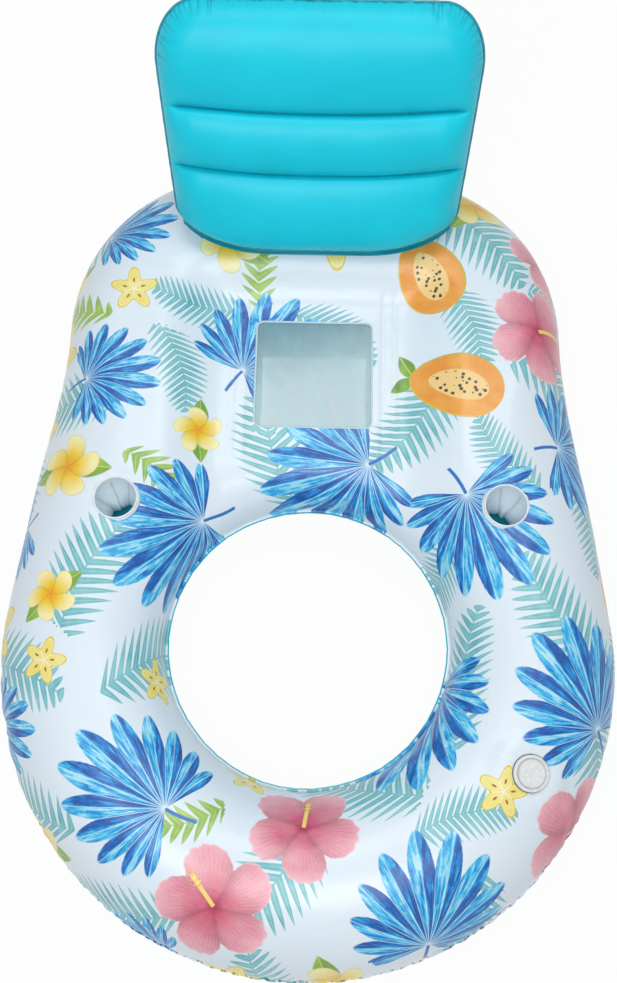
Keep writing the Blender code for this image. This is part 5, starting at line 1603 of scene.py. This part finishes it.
class Backrest(bpy.types.Operator):
    """Make the three-chamber cushion, its seam lip, its tie strips and the web that hinges it"""

    bl_idname = "pool_chair.backrest"
    bl_label = "Backrest"

    def execute(self, context):
        """Build the backrest in its own plane and lean it."""
        sizes = context.scene.pool_chair_backrest
        place = Matrix.Translation(HINGE) @ Matrix.Rotation(BACKREST_LEAN, 4, "X")
        seam_film = solid_film("backrest_seam_film", "078A9C", "0A9DB0", 0.34, 0.0, 30.0)
        self.make_cushion(sizes, place, cushion_film())
        self.make_lip(place, seam_film)
        self.make_ties(sizes, place)
        self.make_web(place, seam_film, sizes.bow)
        return {"FINISHED"}

    def make_cushion(self, sizes, place, film):
        """Front and back skin in one closed cushion, creased at the seam and at its upper corners."""
        even = np.linspace(0.0, PILLOW_LENGTH, 1200)
        spots = [(0.0, 3.0, 0.012), (PILLOW_LENGTH, 3.0, 0.012)]
        spots += [(line - sizes.bow / 2.0, 4.0, 0.009) for line in crease_lines(0.0, 0.0)]
        crowd = sum((more * np.exp(-((even - spot) / width) ** 2) for spot, more, width in spots), 1.0)
        crowd = np.cumsum(crowd)
        up = np.interp(np.linspace(crowd[0], crowd[-1], sizes.rows + 1), crowd, even)[:, None]
        share = np.linspace(-1.0, 1.0, sizes.columns + 1)[None, :]
        share = mix(share, np.sin(share * math.pi / 2.0), 0.75)
        half = pillow_half_width(up)
        x = half * share
        up = np.broadcast_to(up, x.shape)
        depth = pillow_depth(x, up, sizes.bow)
        hold = 1.0 - ease(np.abs(x), PINCH_START, PINCH_END)
        lines = crease_lines(x, sizes.bow)
        for line in lines:
            depth -= PINCH_DEPTH * np.exp(-((up - line) / PINCH_WIDTH) ** 2) * hold
        edge = np.ones(x.shape, dtype=bool)
        edge[1:-1, 1:-1] = False
        depth[edge] = 0.0
        seam_height = pillow_wrap(x, up)
        seam, stations, total = pillow_outline(720)
        flat = np.stack([x.ravel(), up.ravel()], axis=1)
        nearest = np.empty(len(flat), dtype=int)
        for start in range(0, len(flat), 8192):
            part = flat[start:start + 8192]
            gaps = np.hypot(part[:, None, 0] - seam[None, :, 0], part[:, None, 1] - seam[None, :, 1])
            nearest[start:start + 8192] = np.argmin(gaps, axis=1)
        away = np.hypot(*(flat - seam[nearest]).T).reshape(x.shape)
        along = stations[nearest].reshape(x.shape)

        def strength(at):
            """Deepest at the upper corners, shallow along the sides."""
            place_x = abs(np.interp(at, stations, seam[:, 0]))
            place_up = np.interp(at, stations, seam[:, 1])
            if place_up > PILLOW_LENGTH - PILLOW_CORNER_HEIGHT * 1.05 and place_x > PILLOW_HALF_TOP * 0.62:
                return 1.0
            return 0.14 if place_up > PILLOW_BASE_RISE else 0.40

        skins = []
        for side in (1.0, -1.0):
            rng = np.random.default_rng(21 if side > 0.0 else 22)
            push = puckers(rng, along, away, total, 0.018, sizes.pucker_depth, sizes.pucker_reach, 0.0034,
                           strength)
            push += swell(x * 1.6, up * 1.6 + side, 0.0007) * ease(away, 0.01, 0.06)
            if side < 0.0:
                push -= sizes.back_clearance * (1.0 - ease(up, 0.08, 0.17)) * ease(away, 0.001, 0.012)
            surface = np.stack([x, up, side * (depth + 0.0003) + seam_height], axis=2)
            normal = unit(np.cross(np.gradient(surface, axis=1), np.gradient(surface, axis=0))) * side
            surface = surface + normal * (push * ease(away, 0.0, 0.006))[..., None]
            surface[edge, 2] = seam_height[edge]
            skins.append(surface)
        # Where the weld lines lie: the backrest's material darkens along them, partly as painted shade, and
        # paints a shadow just above them
        off_line = up - lines[0]
        off_line = np.where(np.abs(up - lines[1]) < np.abs(off_line), up - lines[1], off_line)
        stored = {"seam": np.stack([along, away, np.vectorize(strength)(along)], axis=2),
                  "weld": np.stack([off_line, hold, np.zeros_like(x)], axis=2)}
        stored = {name: np.concatenate([rows, rows[:, -2:0:-1]], axis=1) for name, rows in stored.items()}
        loop = np.concatenate([skins[0], skins[1][:, -2:0:-1]], axis=1)
        bm = tubed(loop, False, stored)
        self.sink_at_valve(bm, place)
        present("backrest_cushion", bm, "backrest", film,
                ("backrest_front_sheet", "backrest_back_sheet"), place)

    def sink_at_valve(self, bm, place):
        """Draw the back skin in under the valve's flange, so that the stem has its hole."""
        centre = place.inverted() @ stem_foot()
        axis = place.to_3x3().inverted() @ STEM_AXIS
        for vert in bm.verts:
            offset = vert.co - centre
            up = offset.dot(axis)
            if abs(up) < 0.02:
                beside = (offset - axis * up).length
                vert.co -= axis * VALVE_HOLE_DEPTH * (1.0 - ease(beside, 0.0100, 0.0135))

    def make_lip(self, place, film):
        """The flat welded edge of the two skins, slightly waved."""
        seam, stations, total = pillow_outline(900)
        step = np.roll(seam, -1, axis=0) - np.roll(seam, 1, axis=0)
        outward = unit(np.stack([step[:, 1], -step[:, 0]], axis=1))
        loops = np.empty((len(seam), 6, 3))
        turn = stations / total * math.tau
        wave = 0.0007 * np.sin(turn * 47.0) + 0.0005 * np.sin(turn * 83.0)
        rim = ((-0.0012, 0.0004, 0.0), (0.0008, 0.0006, 0.1), (0.0036, 0.0005, 1.0), (0.0036, -0.0005, 1.0),
               (0.0008, -0.0006, 0.1), (-0.0012, -0.0004, 0.0))
        for k, (grow, height, waving) in enumerate(rim):
            points = seam + outward * grow
            loops[:, k, :2] = points
            loops[:, k, 2] = pillow_wrap(seam[:, 0], seam[:, 1]) + height + wave * waving
        present("backrest_seam_lip", tubed(loops, True), "backrest", film, (), place)

    def make_ties(self, sizes, place):
        """The two strips inside that draw the creases in."""
        look = solid_film("backrest_tie_film", "B9CFDB", "CFE0E9", 0.4, 0.1)
        stations = np.linspace(-PILLOW_TIE_REACH, PILLOW_TIE_REACH, 60)
        for name, line in zip(("lower", "upper"), crease_lines(stations, sizes.bow)):
            depth = pillow_depth(stations, line, sizes.bow) - PINCH_DEPTH - 0.0016
            middle_height = pillow_wrap(stations, line)
            rows = []
            for share in np.linspace(-1.0, 1.0, 12):
                slack = 0.0015 * math.cos(share * math.pi / 2.0) * np.sin(stations * 90.0)
                rows.append(np.stack([stations, line + slack, middle_height + depth * share], axis=1))
            piece = present("backrest_" + name + "_tie", lofted(np.array(rows)), "backrest",
                            look, ("backrest_" + name + "_baffle",), place)
            thickened(piece, SHEET * 2.0)

    def make_web(self, place, film, bow):
        """The strip welded on the ring along the cushion's lower arc, and its fin up to the cushion."""
        ring = bmesh.new()
        ring.from_mesh(bpy.data.objects["ring_top_film"].data)
        tree = BVHTree.FromBMesh(ring)
        ring.free()

        def ring_height(x, y):
            """How high the ring's film lies here."""
            return tree.ray_cast(Vector((x, y, 1.0)), Vector((0.0, 0.0, -1.0)))[0].z

        stations = np.linspace(-WEB_REACH, WEB_REACH, 160)
        section = ((1.0, 0.0004), (0.93, 0.0006), (0.6, 0.0006), (0.3, 0.0007), (0.06, 0.0010))
        fin = (0.35, 0.7, 1.0)
        loops = np.empty((len(stations), 2 * len(fin) + len(section) + 5, 3))
        for row, x in enumerate(stations):
            share = (abs(x) / PILLOW_HALF_BASE - PILLOW_BASE_FLAT_SHARE) / (1.0 - PILLOW_BASE_FLAT_SHARE)
            up = PILLOW_BASE_RISE * (1.0 - math.sqrt(1.0 - max(share, 0.0) ** 2))
            root = place @ Vector((x, up, float(pillow_wrap(x, up)))) - UP * WEB_ROOT_DROP
            edge = self.shown_edge(x, up, place, bow)
            y = root.y - WELD_HALF_WIDTH
            for _step in range(6):
                y = (edge - ring_height(x, y) * VIEW_DOWN) / VIEW_BACK
            y = min(y, root.y - WEB_LEAST_REACH)
            front = [(mix(root.y, y, reach), over) for reach, over in section]
            spots = [(place_y, ring_height(x, place_y) + over) for place_y, over in front]
            foot = ring_height(x, root.y)
            spots += [(root.y - FIN_HALF, mix(foot, root.z, level)) for level in fin]
            spots += [(root.y + FIN_HALF, mix(foot, root.z, level)) for level in reversed(fin)]
            back = root.y + mix(WELD_HALF_WIDTH, 0.003, min(max(share, 0.0), 1.0))
            spots += [(root.y + 0.0012, ring_height(x, root.y + 0.0012) + 0.0010),
                      (back, ring_height(x, back) + 0.0004), (back, ring_height(x, back) - 0.0003),
                      (root.y, foot - 0.0003), (y, ring_height(x, y) - 0.0003)]
            loops[row] = [(x, *spot) for spot in spots]
        piece = present("backrest_hinge_web", tubed(loops, False), None, film,
                        ("backrest_weld_strip",))
        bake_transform(piece)

    def shown_edge(self, x, up, place, bow):
        """How low the cushion reaches in the view here, less the width of the line that shows."""
        levels = up + np.linspace(0.0, 0.10, 60) ** 1.5
        across = np.full_like(levels, x)
        depth = pillow_depth(across, levels, bow) + pillow_wrap(across, levels)
        points = [place @ Vector((x, float(level), float(off))) for level, off in zip(levels, depth)]
        return min(point.y * VIEW_BACK + point.z * VIEW_DOWN for point in points) - SHOWN_LINE


class BackrestValve(bpy.types.Operator):
    """Make the small push-in valve on the back of the lower chamber"""

    bl_idname = "pool_chair.backrest_valve"
    bl_label = "Backrest valve"

    def execute(self, context):
        """Build its flange, stem, flap and plug on its axis."""
        place = standing(stem_foot(), STEM_AXIS)
        soft = solid_film("valve_vinyl", "10A6BA", "24BFCF", 0.32, 0.2, 200.0)
        clear = moulded("plug_plastic", "DCE6EA", "EFF4F6", 0.30)
        flange = [(0.0066, -0.0056), (0.0083, -0.0058), (0.0086, -0.0052), (0.0088, -0.0012),
                  (0.0094, -0.0006), (0.0172, -0.0006), (0.0174, 0.0001), (0.0166, 0.0006), (0.0096, 0.0006),
                  (0.0088, 0.0007), (0.0070, 0.0006), (0.0066, 0.0002)]
        present("backrest_valve_collar", spun(flange, 80), "backrest", soft,
                ("backrest_valve_flange",), place)
        stem = [(STEM_BORE + 0.0001, -STEM_IN + 0.0003), (STEM_BORE + 0.0004, -STEM_IN),
                (STEM_RADIUS - 0.0005, -STEM_IN), (STEM_RADIUS - 0.0001, -STEM_IN + 0.0005),
                (STEM_RADIUS - 0.0001, 0.0118), (STEM_RADIUS + 0.0003, 0.0124), (0.0080, 0.0125),
                (0.0085, 0.0129), (0.0085, 0.0136), (0.0081, STEM_OUT), (STEM_BORE + 0.0005, STEM_OUT),
                (STEM_BORE + 0.0001, STEM_OUT - 0.0004)]
        present("backrest_valve_tube", spun(stem, 80), "stem", soft,
                ("backrest_valve_stem",), place)
        flap = [(0.0, -0.01232), (0.0056, -0.01232), (0.0061, -0.0125), (0.0061, -0.0129), (0.0056, -0.01308),
                (0.0, -0.01308)]
        present("backrest_valve_check_flap", spun(flap, 64), "stem_flap", soft,
                ("backrest_valve_flap",), place)
        low, high = self.along("backrest_valve_plug", place)
        pin = [(0.0, low), (0.0028, low), (0.0033, low + 0.0006), (0.0036, low + 0.0030), (0.0037, 0.0142),
               (0.0044, 0.0143), (0.0074, high - 0.0021), (0.0079, high - 0.0017), (0.0080, high - 0.0010),
               (0.0076, high - 0.0003), (0.0068, high), (0.0030, high - 0.0004), (0.0, high - 0.0005)]
        present("backrest_valve_stopper", spun(pin, 80), "plug", clear,
                ("backrest_valve_plug",), place)
        return {"FINISHED"}

    def along(self, node, place):
        """The lowest and highest point of a CAD node along the valve's axis."""
        back = place.inverted()
        heights = [(back @ vert.co).z for vert in frame["nodes"][node].data.vertices]
        return min(heights), max(heights)


# The stage
class StageSizes(bpy.types.PropertyGroup):
    """The view and the light."""

    distance: FloatProperty(name="Distance", description="From the camera to its target", default=2.2250,
                            unit="LENGTH")
    elevation: FloatProperty(name="Elevation", description="Height of the view over the horizon",
                             default=VIEW_ELEVATION, subtype="ANGLE")
    yaw: FloatProperty(name="Yaw", description="Turn of the view about the upright",
                       default=math.radians(-1.2456), subtype="ANGLE")
    lens: FloatProperty(name="Lens", description="Focal length in millimetres", default=45.66)
    target: FloatVectorProperty(name="Target", description="The point in the middle of the view", size=3,
                                default=(-0.005, 0.0735, 0.125), subtype="TRANSLATION")
    world: FloatProperty(name="World", description="Strength of the light from all round", default=0.35)


class Stage(bpy.types.Operator):
    """Lay the floor and set the light and the camera"""

    bl_idname = "pool_chair.stage"
    bl_label = "Stage"

    def execute(self, context):
        """Build the stage."""
        sizes = context.scene.pool_chair_stage
        self.make_floor()
        self.make_world(context.scene, sizes)
        self.make_lamp("foot_softbox", (-0.25, -1.0, 2.6), (0.0, 0.10, 0.15), (1.7, 1.0), 30.0)
        self.make_lamp("head_softbox", (0.15, 1.0, 2.9), (0.0, 0.10, 0.20), (1.8, 1.0), 20.0)
        self.make_camera(context.scene, sizes)
        context.scene.view_settings.view_transform = "Standard"
        return {"FINISHED"}

    def make_floor(self):
        """A wide pale floor that shows white and keeps the object's shadow, with painted shade under the
        seat's well.
        """
        bm = bmesh.new()
        bmesh.ops.create_grid(bm, x_segments=8, y_segments=8, size=6.0)
        look = Look("floor")
        place = look.places()
        greys = [(grey, grey, grey, 1.0) for grey in (0.90, 0.93)]
        look.finish(look.colour(look.noise(place, 1.5, 2.0), *greys), 0.85)
        glow = look.node("Emission")
        across, along, _height = look.split(place)
        # Painted shade: a mask shaped to the ground under the window's well cuts back the white glow, more
        # towards the head end, so the floor's real shading shows darker through the net
        under = (1.0 - (across / WINDOW_HALF_WIDTH).size() ** 8).clamped() * along.above(0.0, 0.1)
        under = under * ((along - 0.10) / 0.26).clamped() * along.below(0.45, 0.02)
        inputs = {0: look.seen() * (0.95 - under * 0.55), 1: look.shader.outputs[0], 2: glow.outputs[0]}
        mixed = look.node("MixShader", None, inputs)
        look.tree.links.new(mixed.outputs[0], look.tree.nodes["Material Output"].inputs["Surface"])
        mesh = bpy.data.meshes.new("floor")
        bm.to_mesh(mesh)
        bm.free()
        mesh.materials.append(look.material)
        floor = bpy.data.objects.new("floor", mesh)
        bpy.context.scene.collection.objects.link(floor)

    def make_world(self, scene, sizes):
        """White to the camera, a soft even light to the object."""
        world = bpy.data.worlds.new("studio")
        scene.world = world
        sky = Look(world, "Background")
        sky.feed(sky.shader.inputs["Strength"], sky.seen() * (1.0 - sizes.world) + sizes.world)
        sky.feed(sky.shader.inputs["Color"], "FFFFFF")

    def make_lamp(self, name, place, target, size, power):
        """A soft rectangular lamp turned to a point."""
        lamp = bpy.data.lights.new(name, "AREA")
        lamp.shape = "RECTANGLE"
        lamp.size, lamp.size_y = size
        lamp.energy = power
        holder = bpy.data.objects.new(name, lamp)
        holder.location = place
        holder.rotation_euler = (Vector(target) - Vector(place)).to_track_quat("-Z", "Y").to_euler()
        bpy.context.scene.collection.objects.link(holder)

    def make_camera(self, scene, sizes):
        """The camera at the photograph's viewing angle."""
        forward = Vector((math.sin(sizes.yaw) * math.cos(sizes.elevation),
                          math.cos(sizes.yaw) * math.cos(sizes.elevation), -math.sin(sizes.elevation)))
        right = Vector((math.cos(sizes.yaw), -math.sin(sizes.yaw), 0.0))
        up = right.cross(forward)
        camera = bpy.data.cameras.new("camera")
        camera.lens = sizes.lens
        holder = bpy.data.objects.new("camera", camera)
        turn = Matrix((right, up, -forward)).transposed().to_4x4()
        holder.matrix_world = Matrix.Translation(Vector(sizes.target) - forward * sizes.distance) @ turn
        scene.collection.objects.link(holder)
        scene.camera = holder


OPERATORS = (RingFilms, SeatWindow, CupHolders, MainValve, Backrest, BackrestValve, Stage)
GROUPS = {"pool_chair_ring": RingSizes, "pool_chair_seat": SeatSizes, "pool_chair_cups": CupSizes,
          "pool_chair_valves": ValveSizes, "pool_chair_backrest": BackrestSizes,
          "pool_chair_stage": StageSizes}


class PoolChairPanel(bpy.types.Panel):
    """The pool chair's steps and sizes"""

    bl_idname = "POOL_CHAIR_PT_main"
    bl_label = "Pool chair"
    bl_space_type = "VIEW_3D"
    bl_region_type = "UI"
    bl_category = "Pool chair"

    def draw(self, context):
        """List the steps, then the sizes."""
        for operator in OPERATORS:
            self.layout.operator(operator.bl_idname)
        for name, group in GROUPS.items():
            box = self.layout.box()
            box.label(text=group.__name__)
            for size in group.__annotations__:
                box.prop(getattr(context.scene, name), size)


def register():
    """Register the groups, the operators and the panel."""
    for name, group in GROUPS.items():
        bpy.utils.register_class(group)
        setattr(bpy.types.Scene, name, PointerProperty(type=group))
    for kind in (*OPERATORS, PoolChairPanel):
        bpy.utils.register_class(kind)


def unregister():
    """Undo register."""
    for kind in reversed((*OPERATORS, PoolChairPanel)):
        bpy.utils.unregister_class(kind)
    for name, group in GROUPS.items():
        delattr(bpy.types.Scene, name)
        bpy.utils.unregister_class(group)


def main():
    """Dress the chair."""
    bpy.context.view_layer.update()
    register()
    for operator in OPERATORS:
        area, name = operator.bl_idname.split(".")
        getattr(getattr(bpy.ops, area), name)()
    bpy.context.view_layer.update()


if __name__ == "__main__":
    main()
